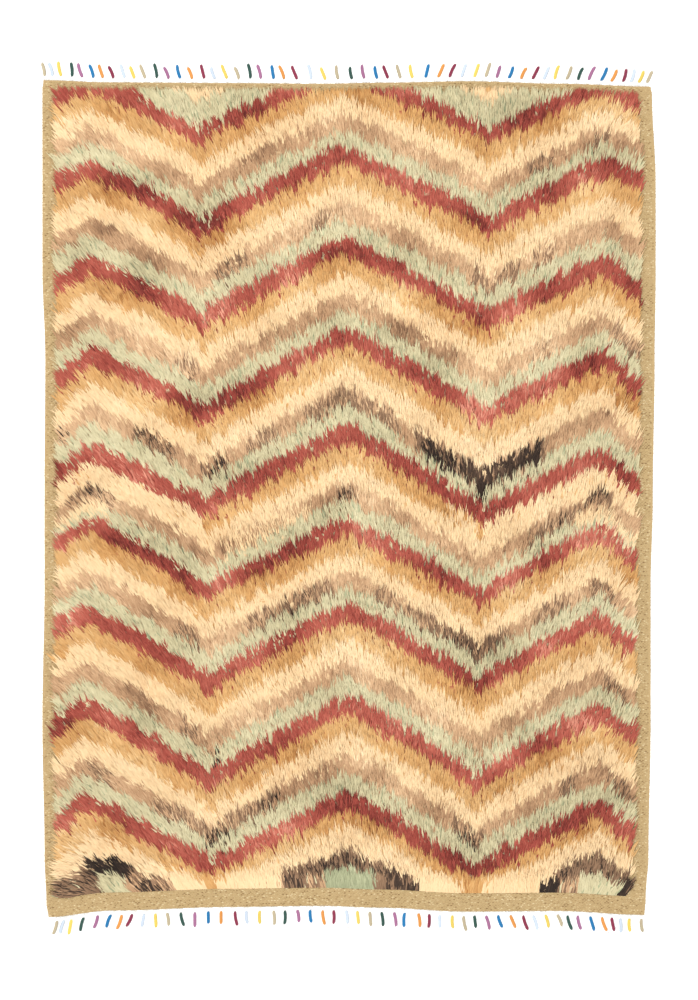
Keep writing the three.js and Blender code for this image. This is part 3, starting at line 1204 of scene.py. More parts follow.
def placed_piece(name: str, mesh: bpy.types.Mesh, finish: bpy.types.Material) -> bpy.types.Object:
    """Puts a finished mesh into the scene as a piece of the rug.

    Args:
        name: The piece's name.
        mesh: The piece's mesh, in the frame's axes.
        finish: The piece's material.

    Returns:
        The piece, riding on the rug's one body.
    """
    mesh.name = name
    mesh.materials.clear()
    mesh.materials.append(finish)
    piece = bpy.data.objects.new(name, mesh)
    bpy.context.scene.collection.objects.link(piece)
    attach(piece, "root")
    mesh.calc_loop_triangles()
    LOG.info("%s: %d triangles", name, len(mesh.loop_triangles))
    return piece


@dataclass
class WovenGround:
    """The flat-woven ground: a slab with rounded selvedges, and the weft's floats where it shows."""

    plan: ClothPlan
    planter: Planter
    edge_round: float = 0.0012
    outline_step: float = 0.010
    slab_tone: float = 0.45
    weft_pitch: float = 0.0042
    warp_pitch: float = 0.0085
    float_share: float = 0.54
    float_height: float = 0.0016
    float_sink: float = 0.0003
    first_column: float = 0.6
    last_column: float = 0.8
    across_jitter: float = 0.0004
    along_jitter: float = 0.0003
    turn_jitter: float = 0.06
    float_sizes: tuple[float, float] = (0.85, 1.12)
    edge_inset: float = 0.0010
    edge_height: float = 0.55
    edge_turn_jitter: float = 0.12
    edge_lengths: tuple[float, float] = (0.35, 0.75)
    edge_swell: float = 1.6
    slow_tone: float = 0.14
    slow_tone_cell: float = 0.05
    float_tone: float = 0.33
    shown_left: float = 0.066
    shown_right: float = 0.064
    shown_bottom: float = 0.058
    shown_top: float = 0.042
    seed: int = 5

    def build(self) -> list[bpy.types.Object]:
        """Builds the slab and its floats.

        Returns:
            The slab first, then the floats.
        """
        finish = TAN_WOOL.material()
        slab = placed_piece("ground_cloth", self._slab_mesh(), finish)
        floats = self.planter.plant("ground_weft_floats", self._floats(), [self._float_shape()], finish)
        for piece in (slab, floats):
            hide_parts("woven_ground")
        return [slab, floats]

    def _slab_mesh(self) -> bpy.types.Mesh:
        """Makes the slab's closed mesh from loops around its edge.

        Returns:
            The mesh, with an even tone.
        """
        thick = self.plan.thickness
        levels = (
            (self.edge_round, 0.0),
            (0.0, self.edge_round),
            (0.0, thick - self.edge_round),
            (self.edge_round, thick),
        )
        loops = []
        for inset, height in levels:
            x, y = self.plan.loop(inset, self.outline_step)
            loops.append(np.stack([x, y, np.full_like(x, height)], axis=1))
        count = len(loops[0])
        faces: list[list[int]] = [list(range(count - 1, -1, -1)), list(range(3 * count, 4 * count))]
        for level in range(len(loops) - 1):
            here = level * count
            for i in range(count):
                j = (i + 1) % count
                faces.append([here + i, here + j, here + count + j, here + count + i])
        mesh = bpy.data.meshes.new("ground_cloth")
        mesh.from_pydata(np.concatenate(loops).tolist(), [], faces)
        set_values(mesh, "tone", "FLOAT", np.full(len(mesh.vertices), self.slab_tone))
        set_values(mesh, "reach", "FLOAT", np.ones(len(mesh.vertices)))
        return mesh

    def _float_shape(self) -> Shape:
        """Makes one weft float, a grain that lies across the cloth, a little larger than one crossing.

        Returns:
            The float.
        """
        length = self.float_share * self.warp_pitch
        breadth = self.float_share * self.weft_pitch
        points = np.array(
            [
                [-length, 0.0, 0.0],
                [length, 0.0, 0.0],
                [0.0, -breadth, 0.0],
                [0.0, breadth, 0.0],
                [0.0, 0.0, self.float_height],
                [0.0, 0.0, -self.float_height],
            ]
        )
        faces: list[tuple[int, ...]] = []
        for low, high in ((2, 1), (1, 3), (3, 0), (0, 2)):
            faces.append((low, high, 4))
            faces.append((high, low, 5))
        return Shape(points, faces, np.ones(len(points)))

    def _floats(self) -> Planting:
        """Places the floats of a plain weave over the border that shows, and around the cloth's edges.

        Returns:
            The planting.
        """
        rng = np.random.default_rng(self.seed)
        plan = self.plan
        weft = self.weft_pitch
        warp = self.warp_pitch
        rows = np.arange(weft, plan.length - 0.5 * weft, weft)
        columns = np.arange(self.first_column * warp, plan.width - self.last_column * warp, warp)
        across, along = (grid.ravel() for grid in np.meshgrid(columns, rows))
        odd = np.repeat(np.arange(len(rows)) % 2, len(columns))
        across = across + 0.5 * warp * odd
        inside = (
            (across > self.shown_left)
            & (across < plan.width - self.shown_right)
            & (along > self.shown_bottom)
            & (along < plan.length - self.shown_top)
        )
        kept = ~inside & (across < plan.width - 0.5 * warp)
        across = across[kept] + rng.normal(0.0, self.across_jitter, kept.sum())
        along = along[kept] + rng.normal(0.0, self.along_jitter, kept.sum())
        height = np.full(len(across), plan.thickness - self.float_sink)
        turn = rng.normal(0.0, self.turn_jitter, len(across))
        size = np.ones((len(across), 3)) * rng.uniform(*self.float_sizes, (len(across), 1))

        sides = np.arange(0.5 * weft, plan.length, weft)
        ends = np.arange(0.5 * weft, plan.width, weft)
        edges = (
            (np.full(len(sides), self.edge_inset), sides, 0.0),
            (np.full(len(sides), plan.width - self.edge_inset), sides, 0.0),
            (ends, np.full(len(ends), self.edge_inset), 0.5 * math.pi),
            (ends, np.full(len(ends), plan.length - self.edge_inset), 0.5 * math.pi),
        )
        for edge_across, edge_along, facing in edges:
            count = len(edge_across)
            across = np.concatenate([across, edge_across])
            along = np.concatenate([along, edge_along])
            height = np.concatenate([height, np.full(count, self.edge_height * plan.thickness)])
            turn = np.concatenate([turn, facing + rng.normal(0.0, self.edge_turn_jitter, count)])
            lengths = rng.uniform(*self.edge_lengths, count)
            swells = np.full(count, self.edge_swell)
            size = np.concatenate([size, np.stack([lengths, np.ones(count), swells], axis=1)])

        x, y = plan.places(across, along)
        slow = soft_noise(across, along, self.slow_tone_cell, rng)
        tones = 0.5 + self.slow_tone * slow + rng.normal(0.0, self.float_tone, len(x))
        turns = np.zeros((len(x), 3))
        turns[:, 2] = turn
        points = np.stack([x, y, height], axis=1)
        return Planting(points, turns, size, np.zeros(len(x)), np.clip(tones, LEAST_TONE, 1.0))


class LumpRow(NamedTuple):
    """One slow wave of the pile's height: its rise, its two wavelengths and where it starts."""

    rise: float
    wave_across: float
    wave_along: float
    turn: float


class LockBend(NamedTuple):
    """How a lock bends: to the side and upwards, at its bend and its tip, as shares of its length."""

    bend_side: float
    tip_side: float
    bend_rise: float
    tip_rise: float


@dataclass
class ShagPile:
    """The knotted pile: a bed of roots, and long locks of each yarn that lie towards the top end."""

    plan: ClothPlan
    planter: Planter
    chart: ZigzagChart = field(default_factory=ZigzagChart)
    nap: NapField = field(default_factory=NapField)
    margin_left: float = 0.058
    margin_right: float = 0.056
    margin_bottom: float = 0.0515
    margin_top: float = 0.040
    top_strip: float = 0.0105
    height: float = 0.015
    rim_height: float = 0.008
    rim_fade: float = 0.070
    fade_past_rim: float = 0.25
    lumps: tuple[LumpRow, ...] = (
        LumpRow(0.0019, 0.146, 0.430, 0.6),
        LumpRow(0.0019, -0.390, 0.137, 2.1),
        LumpRow(0.0014, 0.163, 0.181, 4.0),
        LumpRow(0.0014, 0.187, -0.169, 1.2),
    )
    bends: tuple[LockBend, ...] = (
        LockBend(-0.055, 0.035, 0.18, 0.25),
        LockBend(0.055, -0.035, 0.17, 0.23),
        LockBend(-0.025, -0.075, 0.19, 0.27),
        LockBend(0.025, 0.075, 0.18, 0.25),
        LockBend(0.070, 0.080, 0.16, 0.24),
        LockBend(-0.070, -0.080, 0.17, 0.26),
    )
    bend_place: float = 0.46
    tip_place: float = 0.96
    knot_pitch: float = 0.0120
    knot_jitter_across: float = 0.5
    knot_jitter_along: float = 0.4
    locks_in_knot: int = 7
    lock_length: float = 0.045
    lock_width: float = 0.0038
    knot_aside: float = 0.0055
    knot_ahead: float = 0.0060
    edge_pitch: float = 0.0024
    edge_rows: int = 3
    edge_row_pitch: float = 0.006
    edge_width: float = 0.0046
    edge_root_share: float = 0.8
    edge_height_share: float = 0.2
    edge_aside: float = 0.0005
    edge_ahead: float = 0.0006
    root_rise: float = 0.0008
    root_rise_jitter: float = 0.0012
    shown_share: float = 0.98
    first_row_share: float = 0.5
    first_rows: float = 0.045
    bed_step: float = 0.012
    bed_share: float = 0.42
    bed_rise: float = 0.080
    bed_least_rise: float = 0.1
    bed_past_margin: float = 0.006
    bed_bottom_inset: float = 0.004
    bed_gap: float = 0.0003
    bed_heights: tuple[float, float] = (0.75, 1.2)
    bed_tones: tuple[float, float] = (0.2, 0.9)
    slow_lean: float = 9.0
    slow_lean_cell: float = 0.045
    knot_lean: float = 4.0
    lock_lean: float = 5.0
    lock_pitching: float = 0.025
    lock_rolling: float = 0.07
    gathering: float = 0.5
    least_upwards: float = 0.3
    least_room: float = 0.4
    lock_widths: tuple[float, float] = (0.75, 1.25)
    length_jitter: float = 0.13
    lock_lengths: tuple[float, float] = (0.65, 1.35)
    room_used: tuple[float, float] = (0.85, 1.1)
    lock_heights: tuple[float, float] = (0.84, 1.06)
    slow_tone: float = 0.36
    slow_tone_cell: float = 0.10
    knot_tone: float = 0.09
    lock_tone: float = 0.07
    seed: int = 20

    def build(self) -> list[bpy.types.Object]:
        """Builds the bed and the locks of each yarn.

        Returns:
            The bed first, then one piece for each yarn.
        """
        rng = np.random.default_rng(self.seed)
        pieces = [placed_piece("pile_bed", self._bed_mesh(rng), BED_WOOL.material())]
        shapes = self._lock_shapes()
        planting, yarns = self._locks(rng, len(shapes))
        for number, yarn in enumerate(Yarn):
            finish = PILE_FINISHES[yarn].material()
            mine = planting.only(yarns == number)
            pieces.append(self.planter.plant(f"pile_locks_{yarn.value}", mine, shapes, finish))
        for piece in pieces:
            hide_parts("shag_pile")
        return pieces

    def heights(self, across: np.ndarray, along: np.ndarray) -> np.ndarray:
        """Finds the pile's height above the ground, with its lumps, easing down to its rim.

        Args:
            across: Places across the cloth.
            along: Places along the cloth.

        Returns:
            The height at each place.
        """
        inset = np.minimum.reduce(
            [
                across - self.margin_left,
                self.plan.width - self.margin_right - across,
                along - self.margin_bottom,
                self.plan.length - self.margin_top - along,
            ]
        )
        lumps = np.zeros_like(across)
        for row in self.lumps:
            waves = across / row.wave_across + along / row.wave_along
            lumps += row.rise * np.sin(2.0 * math.pi * waves + row.turn)
        low = -self.fade_past_rim * self.rim_fade
        share = eased(np.clip((inset - low) / (self.rim_fade - low), 0.0, 1.0))
        return self.rim_height + (self.height - self.rim_height) * share + lumps * share

    def _shown_yarns(self, across: np.ndarray, along: np.ndarray, rng: np.random.Generator) -> np.ndarray:
        """Reads the yarn of knots by where their tufts show, past their roots.

        Args:
            across: The roots' places across the cloth.
            along: The roots' places along the cloth.
            rng: The source of the chart's loose knots.

        Returns:
            Each knot's yarn number.
        """
        lean = self.nap.leans(across, along, self.plan)
        first = np.clip(1.0 - (along - self.margin_bottom) / self.first_rows, 0.0, 1.0)
        share = self.shown_share + (self.first_row_share - self.shown_share) * first
        ahead = share * self.lock_length
        return self.chart.yarns(across + ahead * np.sin(lean), along + ahead * np.cos(lean), rng)

    def _bed_mesh(self, rng: np.random.Generator) -> bpy.types.Mesh:
        """Makes the bed of roots, a low lumpy slab in the yarns' body shades.

        Args:
            rng: The source of its unevenness.

        Returns:
            The closed mesh, with its dye and tone attributes.
        """
        plan = self.plan
        low_across = self.margin_left - self.bed_past_margin
        high_across = plan.width - self.margin_right + self.bed_past_margin
        low_along = self.margin_bottom + self.bed_bottom_inset
        high_along = plan.length - self.margin_top + self.bed_past_margin
        columns = round((high_across - low_across) / self.bed_step)
        rows = round((high_along - low_along) / self.bed_step)
        grids = np.meshgrid(
            np.linspace(low_across, high_across, columns + 1), np.linspace(low_along, high_along, rows + 1)
        )
        across, along = (grid.ravel() for grid in grids)
        x, y = plan.places(across, along)
        floor = plan.thickness + self.bed_gap
        risen = np.clip((along - self.margin_bottom) / self.bed_rise, self.bed_least_rise, 1.0)
        share = self.bed_share * risen * rng.uniform(*self.bed_heights, len(across))
        points = np.stack([x, y, floor + share * self.heights(across, along)], axis=1)
        number = np.arange(len(across)).reshape(rows + 1, columns + 1)
        quads = np.stack(
            [number[:-1, :-1], number[:-1, 1:], number[1:, 1:], number[1:, :-1]], axis=-1
        ).reshape(-1, 4)
        rim = np.concatenate([number[0, :-1], number[:-1, -1], number[-1, :0:-1], number[:0:-1, 0]])
        under = points[rim].copy()
        under[:, 2] = floor
        start = len(points)
        count = len(rim)
        faces: list[list[int]] = quads.tolist()
        for i in range(count):
            j = (i + 1) % count
            faces.append([start + i, start + j, int(rim[j]), int(rim[i])])
        faces.append(list(range(start + count - 1, start - 1, -1)))
        mesh = bpy.data.meshes.new("pile_bed")
        mesh.from_pydata(np.concatenate([points, under]).tolist(), [], faces)
        yarns = self._shown_yarns(across, along, rng)
        shades = np.array([PILE_FINISHES[yarn].body for yarn in Yarn])[yarns]
        set_values(mesh, "dye", "FLOAT_COLOR", np.concatenate([shades, shades[rim]]))
        set_values(mesh, "tone", "FLOAT", rng.uniform(*self.bed_tones, len(mesh.vertices)))
        return mesh

    def _lock_shapes(self) -> list[Shape]:
        """Makes the few shapes of lock: rising from the root, then lying over, each bent its own way.

        Returns:
            The pointed locks, then as many with blunt roots for the pile's bottom edge.
        """
        widths = (self.edge_root_share * self.edge_width, self.edge_width, 0.0)
        pointed = []
        blunt = []
        for bend in self.bends:
            path = self.lock_length * np.array(
                [
                    [0.0, 0.0, 0.0],
                    [bend.bend_side, self.bend_place, bend.bend_rise],
                    [bend.tip_side, self.tip_place, bend.tip_rise],
                ]
            )
            pointed.append(lock(path, self.lock_width))
            blunt.append(strand(path, widths, self.edge_height_share)._replace(smooth=False))
        return pointed + blunt

    def _knots(self, rng: np.random.Generator) -> tuple[np.ndarray, np.ndarray, np.ndarray]:
        """Places the knots over the pile, then close rows of single locks along its bottom edge.

        Args:
            rng: The source of the knots' unevenness.

        Returns:
            The places across and along the cloth, and which of them are the bottom edge's.
        """
        plan = self.plan
        columns = np.arange(self.margin_left, plan.width - self.margin_right, self.knot_pitch)
        rows = np.arange(self.margin_bottom, plan.length - self.margin_top, self.knot_pitch)
        across, along = (grid.ravel() for grid in np.meshgrid(columns, rows))
        knots = len(across)
        aside = self.knot_jitter_across
        ahead = self.knot_jitter_along
        across = across + self.knot_pitch * rng.uniform(-aside, aside, knots)
        along = along + self.knot_pitch * rng.uniform(-ahead, ahead, knots)
        edge = np.arange(self.margin_left, plan.width - self.margin_right, self.edge_pitch)
        for row in range(self.edge_rows):
            level = self.margin_bottom + row * self.edge_row_pitch
            across = np.concatenate([across, edge])
            along = np.concatenate([along, np.full(len(edge), level)])
        return across, along, np.arange(len(across)) >= knots

    def _locks(self, rng: np.random.Generator, kinds: int) -> tuple[Planting, np.ndarray]:
        """Places every lock of the pile, knot by knot, and those of its bottom edge.

        Args:
            rng: The source of the locks' unevenness.
            kinds: The number of lock shapes, half of them blunt.

        Returns:
            The planting, and the yarn number of each lock.
        """
        plan = self.plan
        across, along, blunt = self._knots(rng)
        repeated = np.repeat(np.arange(len(across)), np.where(blunt, 1, self.locks_in_knot))
        at_edge = blunt[repeated]
        count = len(repeated)
        yarn = self._shown_yarns(across[repeated], along[repeated], rng)
        lean = self.nap.leans(across, along, plan)
        lean = lean + np.radians(self.slow_lean) * soft_noise(across, along, self.slow_lean_cell, rng)
        lean = lean + np.radians(self.knot_lean) * rng.normal(0.0, 1.0, len(lean))
        slow = soft_noise(across, along, self.slow_tone_cell, rng)
        knot_tone = 0.5 + self.slow_tone * slow + self.knot_tone * rng.normal(0.0, 1.0, len(lean))
        lift = self.heights(across, along) / self.height

        aside = np.where(at_edge, self.edge_aside, self.knot_aside) * rng.uniform(-1.0, 1.0, count)
        ahead = np.where(at_edge, self.edge_ahead, self.knot_ahead) * rng.uniform(-1.0, 1.0, count)
        rooted = np.maximum(along[repeated] + ahead, self.margin_bottom)
        x, y = plan.places(across[repeated] + aside, rooted)
        z = plan.thickness + self.root_rise + rng.uniform(0.0, self.root_rise_jitter, count)
        turns = np.zeros((count, 3))
        turns[:, 0] = rng.normal(0.0, self.lock_pitching, count)
        turns[:, 1] = rng.normal(0.0, self.lock_rolling, count)
        gathered = lean[repeated] - self.gathering * aside / self.lock_length
        turns[:, 2] = -(gathered + np.radians(self.lock_lean) * rng.normal(0.0, 1.0, count))
        upwards = np.maximum(np.cos(turns[:, 2]), self.least_upwards)
        room = (plan.length - self.top_strip - rooted) / (self.lock_length * upwards)
        room = np.maximum(room, self.least_room)
        sizes = np.ones((count, 3))
        sizes[:, 0] = rng.uniform(*self.lock_widths, count)
        sizes[:, 1] = np.clip(rng.normal(1.0, self.length_jitter, count), *self.lock_lengths)
        sizes[:, 1] = np.minimum(sizes[:, 1], room * rng.uniform(*self.room_used, count))
        sizes[:, 2] = lift[repeated] * rng.uniform(*self.lock_heights, count)
        tones = knot_tone[repeated] + self.lock_tone * rng.normal(0.0, 1.0, count)
        shapes = rng.integers(0, kinds // 2, count) + np.where(at_edge, kinds // 2, 0)
        points = np.stack([x, y, z], axis=1)
        return Planting(points, turns, sizes, shapes, np.clip(tones, LEAST_TONE, 1.0)), yarn


@dataclass
class TasselFringe:
    """One end's fringe: warp ends that fan out of the cloth, in tassels bound with coloured thread."""

    plan: ClothPlan
    planter: Planter
    name: str
    node: str
    outwards: int
    count: int
    stream: int
    drift_rows: tuple[DriftRow, ...]
    lean_rows: tuple[LeanRow, ...]
    thread_rows: tuple[ThreadRow, ...]
    end_inset: float = 0.014
    pitch_jitter: float = 0.0025
    lean_jitter: float = 8.0
    root: float = 0.0033
    wrap_start: float = 0.009
    wrap_end: float = 0.047
    tail_end: float = 0.060
    wrap_radius: float = 0.0050
    thread_turns: int = 17
    wrap_sides: int = 7
    wrap_bows: tuple[float, ...] = (-0.0016, 0.0, 0.0016)
    wrap_lengths: tuple[float, float] = (0.88, 1.1)
    wrap_groove: float = 0.86
    wrap_closed: float = 0.55
    wrap_opening: float = 4.0
    wrap_flatness: float = 0.88
    thread_tilt: float = 0.0006
    tassel_tones: tuple[float, float] = (0.35, 0.85)
    bundle_kinds: int = 4
    cords: int = 6
    cord_spreads: tuple[float, ...] = (0.0125, 0.0060, 0.0018)
    cord_heights: tuple[float, ...] = (0.0026, 0.0030, 0.0036)
    cord_widths: tuple[float, ...] = (0.0022, 0.0023, 0.0024)
    cord_roundness: float = 0.5
    cord_under: float = 0.0012
    cord_bend: float = 0.4
    cord_in_wrap: float = 0.002
    tails: int = 8
    tail_jitter: float = 0.15
    tail_reaches: tuple[float, float] = (-0.004, 0.003)
    tail_spreads: tuple[float, ...] = (0.0020, 0.0036, 0.0056)
    tail_heights: tuple[float, ...] = (0.0034, 0.0030, 0.0016)
    tail_dips: tuple[float, ...] = (-0.001, -0.0008, -0.0006)
    tail_lifts: tuple[float, ...] = (0.001, 0.001, 0.0010)
    tail_widths: tuple[float, ...] = (0.0020, 0.0024, 0.0)
    tail_roundness: float = 0.8
    tail_in_wrap: float = 0.003
    tail_bend: float = 0.005
    seed: int = 31

    def build(self) -> list[bpy.types.Object]:
        """Builds the warp ends and the thread wraps.

        Returns:
            The warp ends, then the wraps.
        """
        rng = np.random.default_rng(self.seed + self.stream)
        bundles = [self._bundle_shape(rng) for _ in range(self.bundle_kinds)]
        wraps = [self._wrap_shape(bow) for bow in self.wrap_bows]
        ends = self._places(rng, len(bundles))
        bound = self._places(rng, len(wraps))
        bound.dyes = self._dyes()
        bound.sizes[:, 1] = rng.uniform(*self.wrap_lengths, self.count)
        pieces = [
            self.planter.plant(f"{self.name}_warp_ends", ends, bundles, WARP_YARN.material()),
            self.planter.plant(f"{self.name}_thread_wraps", bound, wraps, WRAP_THREAD.material()),
        ]
        for piece in pieces:
            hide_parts(self.node)
        return pieces

    def _places(self, rng: np.random.Generator, kinds: int) -> Planting:
        """Places the tassels where the frame's solids have them.

        Args:
            rng: The source of the tassels' tones and shapes.
            kinds: The number of tassel shapes.

        Returns:
            The planting.
        """
        index = np.arange(self.count)
        pitch = (self.plan.width - 2.0 * self.end_inset) / (self.count - 1)
        drifts = self.drift_rows
        drift = eased_column([row.index for row in drifts], [row.drift for row in drifts], index)
        across = self.end_inset + pitch * index + drift + self.pitch_jitter * uneven(index, self.stream)
        end = self.plan.length if self.outwards > 0 else 0.0
        along = np.full(self.count, end + self.outwards * self.root)
        x, y = self.plan.places(across, along)
        rows = self.lean_rows
        lean = eased_column([row.across for row in rows], [row.lean for row in rows], across)
        lean = np.radians(lean + self.lean_jitter * uneven(index, self.stream + 1))
        turns = np.zeros((self.count, 3))
        turns[:, 2] = np.arctan2(-np.sin(lean), self.outwards * np.cos(lean))
        points = np.stack([x, y, np.zeros(self.count)], axis=1)
        sizes = np.ones((self.count, 3))
        tones = rng.uniform(*self.tassel_tones, self.count)
        return Planting(points, turns, sizes, rng.integers(0, kinds, self.count), tones)

    def _dyes(self) -> np.ndarray:
        """Reads each tassel's thread colour.

        Returns:
            One colour for each tassel.
        """
        threads = list(Thread)
        order = np.zeros(self.count, int)
        for row in self.thread_rows:
            onwards = np.arange(self.count - row.index)
            order[row.index :] = (threads.index(row.thread) + onwards) % len(threads)
        return np.array([thread.value for thread in threads])[order]

    def _bundle_shape(self, rng: np.random.Generator) -> Shape:
        """Makes one tassel's warp ends: cords that gather into the wrap, and a loose brush past it.

        Args:
            rng: The source of the strands' unevenness.

        Returns:
            The warp ends.
        """
        cord_run = (
            -self.root - self.cord_under,
            self.cord_bend * self.wrap_start,
            self.wrap_start + self.cord_in_wrap,
        )
        spreads = np.array(self.cord_spreads)
        strands = []
        for side in np.linspace(-1.0, 1.0, self.cords):
            path = np.stack([spreads * side, cord_run, self.cord_heights], axis=1)
            strands.append(strand(path, self.cord_widths, self.cord_roundness))
        spreads = np.array(self.tail_spreads)
        for side in np.linspace(-1.0, 1.0, self.tails):
            spread = side + rng.normal(0.0, self.tail_jitter)
            reach = self.tail_end + rng.uniform(*self.tail_reaches)
            tail_run = (self.wrap_end - self.tail_in_wrap, self.wrap_end + self.tail_bend, reach)
            heights = self.tail_heights + rng.uniform(self.tail_dips, self.tail_lifts)
            path = np.stack([spreads * spread, tail_run, heights], axis=1)
            strands.append(strand(path, self.tail_widths, self.tail_roundness))
        return joined(strands)

    def _wrap_shape(self, bow: float) -> Shape:
        """Makes one wrap: thread wound in tilted turns over the bundle, with a soft start and end.

        Args:
            bow: How far the wrap's middle bends to one side.

        Returns:
            The wrap.
        """
        sides = self.wrap_sides
        rings = 2 * self.thread_turns + 1
        angle = np.arange(sides) / sides * 2.0 * math.pi
        points = []
        for ring in range(rings):
            share = ring / (rings - 1)
            crest = 1.0 if ring % 2 else self.wrap_groove
            closing = min(1.0, self.wrap_closed + self.wrap_opening * min(share, 1.0 - share))
            radius = self.wrap_radius * crest * closing
            run = self.wrap_start + (self.wrap_end - self.wrap_start) * share
            x = radius * np.cos(angle) + bow * math.sin(math.pi * share)
            y = run + self.thread_tilt * np.cos(angle)
            z = self.wrap_flatness * (self.wrap_radius + radius * np.sin(angle))
            points.append(np.stack([x, y, z], axis=1))
        faces: list[tuple[int, ...]] = []
        for ring in range(rings - 1):
            for side in range(sides):
                here = ring * sides + side
                beside = ring * sides + (side + 1) % sides
                faces.append((here, here + sides, beside + sides, beside))
        last = (rings - 1) * sides
        faces.append(tuple(range(sides)))
        faces.append(tuple(last + side for side in reversed(range(sides))))
        return Shape(np.concatenate(points), faces, np.repeat(np.linspace(0.0, 1.0, rings), sides))


@dataclass
class Studio:
    """A plain pale floor, soft studio light, and a camera straight above the rug."""

    plan: ClothPlan
    floor_side: float = 24.0
    floor_drop: float = 0.0006
    paper_shades: tuple[Colour, Colour] = (dye(247, 247, 246), dye(252, 252, 251))
    paper_grain: float = 3.0
    paper_roughness: float = 0.9
    lens: float = 85.0
    sensor: float = 36.0
    millimetres_per_pixel: float = 2.772
    picture_height: int = 1000
    middle_across: float = 0.850
    middle_along: float = 1.156
    sky_strength: float = 1.5
    key_energy: float = 235.0
    key_size: float = 3.2
    key_place: tuple[float, float, float] = (-1.3, 0.9, 6.0)

    def build(self) -> None:
        """Builds the floor, the lights and the camera."""
        self._floor()
        self._lights()
        self._camera()

    def _floor(self) -> None:
        """Lays the pale floor under the rug."""
        half = self.floor_side / 2.0
        mesh = bpy.data.meshes.new("studio_floor")
        corners = [(-half, -half), (half, -half), (half, half), (-half, half)]
        mesh.from_pydata([(x, y, -self.floor_drop) for x, y in corners], [], [(0, 1, 2, 3)])
        made, sketch = blank_material("studio_paper")
        place = sketch.add("ShaderNodeTexCoord").outputs["Object"]
        grain = sketch.add("ShaderNodeTexNoise", {"Vector": place, "Scale": self.paper_grain})
        shades = tuple(enumerate(self.paper_shades))
        pale = sketch.ramp(grain.outputs["Fac"], shades)
        look = {"Base Color": pale, "Roughness": self.paper_roughness}
        shader = sketch.add("ShaderNodeBsdfPrincipled", look)
        sketch.add("ShaderNodeOutputMaterial", {"Surface": shader.outputs["BSDF"]})
        mesh.materials.append(made)
        floor = bpy.data.objects.new("studio_floor", mesh)
        bpy.context.scene.collection.objects.link(floor)

    def _lights(self) -> None:
        """Sets an even sky and one large soft key light."""
        world = bpy.data.worlds.new("studio_sky")
        world.use_nodes = True
        sky = world.node_tree.nodes["Background"]
        sky.inputs["Color"].default_value = (1.0, 1.0, 1.0, 1.0)
        sky.inputs["Strength"].default_value = self.sky_strength
        bpy.context.scene.world = world
        lamp = bpy.data.lights.new("studio_key", "AREA")
        lamp.shape = "DISK"
        lamp.size = self.key_size
        lamp.energy = self.key_energy
        key = bpy.data.objects.new("studio_key", lamp)
        key.location = self.key_place
        x, y, z = self.key_place
        key.rotation_euler = (math.atan2(math.hypot(x, y), z), 0.0, math.atan2(-x, y) + math.pi)
        bpy.context.scene.collection.objects.link(key)
        bpy.context.scene.view_settings.view_transform = "Standard"

    def _camera(self) -> None:
        """Hangs the camera over the rug, with the picture's top towards +Y."""
        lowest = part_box("woven_ground")[0]
        field_height = self.millimetres_per_pixel * self.picture_height / 1000.0
        data = bpy.data.cameras.new("studio_camera")
        data.lens = self.lens
        data.sensor_width = self.sensor
        camera = bpy.data.objects.new("studio_camera", data)
        camera.location = (
            lowest[0] + self.middle_across,
            lowest[1] + self.middle_along,
            self.plan.thickness + field_height * self.lens / self.sensor,
        )
        bpy.context.scene.collection.objects.link(camera)
        bpy.context.scene.camera = camera


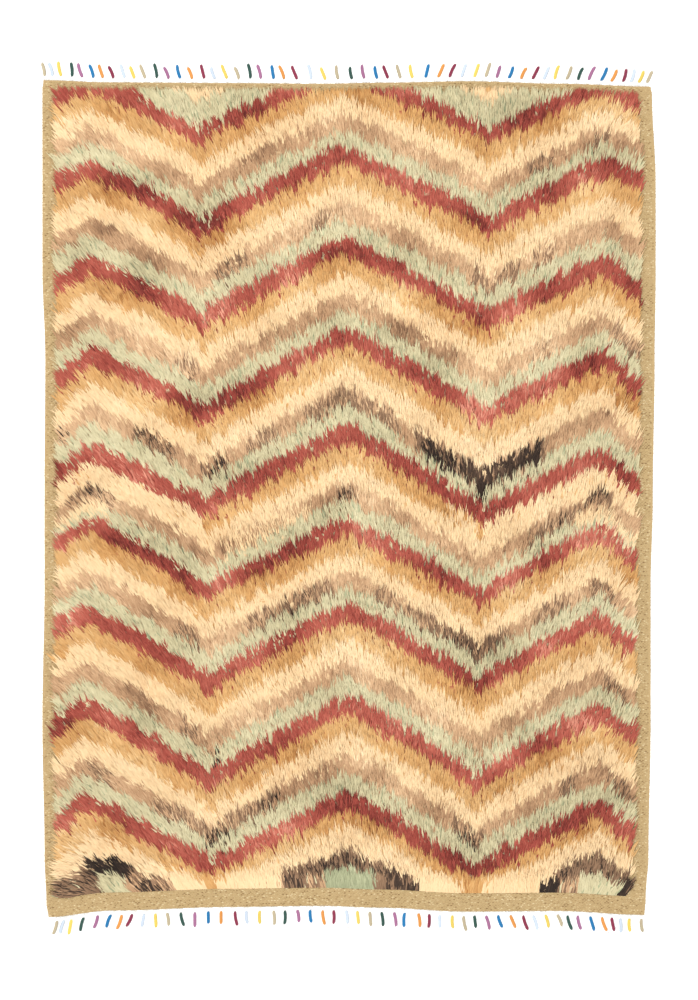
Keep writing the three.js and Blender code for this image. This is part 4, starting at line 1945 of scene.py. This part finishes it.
TOP_DRIFTS = (
    DriftRow(0, -0.010),
    DriftRow(3, -0.029),
    DriftRow(10, -0.041),
    DriftRow(20, -0.032),
    DriftRow(30, 0.008),
    DriftRow(40, 0.024),
    DriftRow(50, 0.028),
    DriftRow(53, 0.002),
)
TOP_LEANS = (
    LeanRow(0.000, -12.0),
    LeanRow(0.250, -16.0),
    LeanRow(1.020, -15.0),
    LeanRow(1.070, 16.0),
    LeanRow(1.300, 21.0),
    LeanRow(1.700, 20.0),
)
TOP_THREADS = (
    ThreadRow(0, Thread.BEIGE),
    ThreadRow(1, Thread.PALE_BLUE),
    ThreadRow(3, Thread.GREEN),
    ThreadRow(30, Thread.MAROON),
    ThreadRow(31, Thread.BEIGE),
    ThreadRow(32, Thread.YELLOW),
    ThreadRow(33, Thread.BLUE),
    ThreadRow(39, Thread.MAUVE),
)
BOTTOM_DRIFTS = (
    DriftRow(0, 0.014),
    DriftRow(2, -0.016),
    DriftRow(5, 0.000),
    DriftRow(10, -0.010),
    DriftRow(13, 0.008),
    DriftRow(20, 0.028),
    DriftRow(30, 0.035),
    DriftRow(36, 0.030),
    DriftRow(40, 0.030),
    DriftRow(45, 0.023),
    DriftRow(50, 0.004),
)
BOTTOM_LEANS = (
    LeanRow(0.000, -16.0),
    LeanRow(0.250, -20.0),
    LeanRow(0.310, 8.0),
    LeanRow(1.000, 5.0),
    LeanRow(1.230, 6.0),
    LeanRow(1.290, 22.0),
    LeanRow(1.560, 22.0),
    LeanRow(1.620, 4.0),
    LeanRow(1.700, 12.0),
)
BOTTOM_THREADS = (
    ThreadRow(0, Thread.BEIGE),
    ThreadRow(1, Thread.PALE_BLUE),
    ThreadRow(3, Thread.GREEN),
)


def main() -> None:
    """Builds the studio, then the rug's pieces in order."""
    logging.basicConfig(level=logging.INFO, format="%(name)s %(message)s")
    plan = ClothPlan()
    planter = Planter()
    Studio(plan).build()
    ground = WovenGround(plan, planter).build()
    pile = ShagPile(plan, planter).build()
    top = TasselFringe(
        plan,
        planter,
        name="top_fringe",
        node="fringe_top_end",
        outwards=1,
        count=54,
        stream=11,
        drift_rows=TOP_DRIFTS,
        lean_rows=TOP_LEANS,
        thread_rows=TOP_THREADS,
    ).build()
    bottom = TasselFringe(
        plan,
        planter,
        name="bottom_fringe",
        node="fringe_bottom_end",
        outwards=-1,
        count=51,
        stream=13,
        drift_rows=BOTTOM_DRIFTS,
        lean_rows=BOTTOM_LEANS,
        thread_rows=BOTTOM_THREADS,
    ).build()


if __name__ == "__main__":
    main()
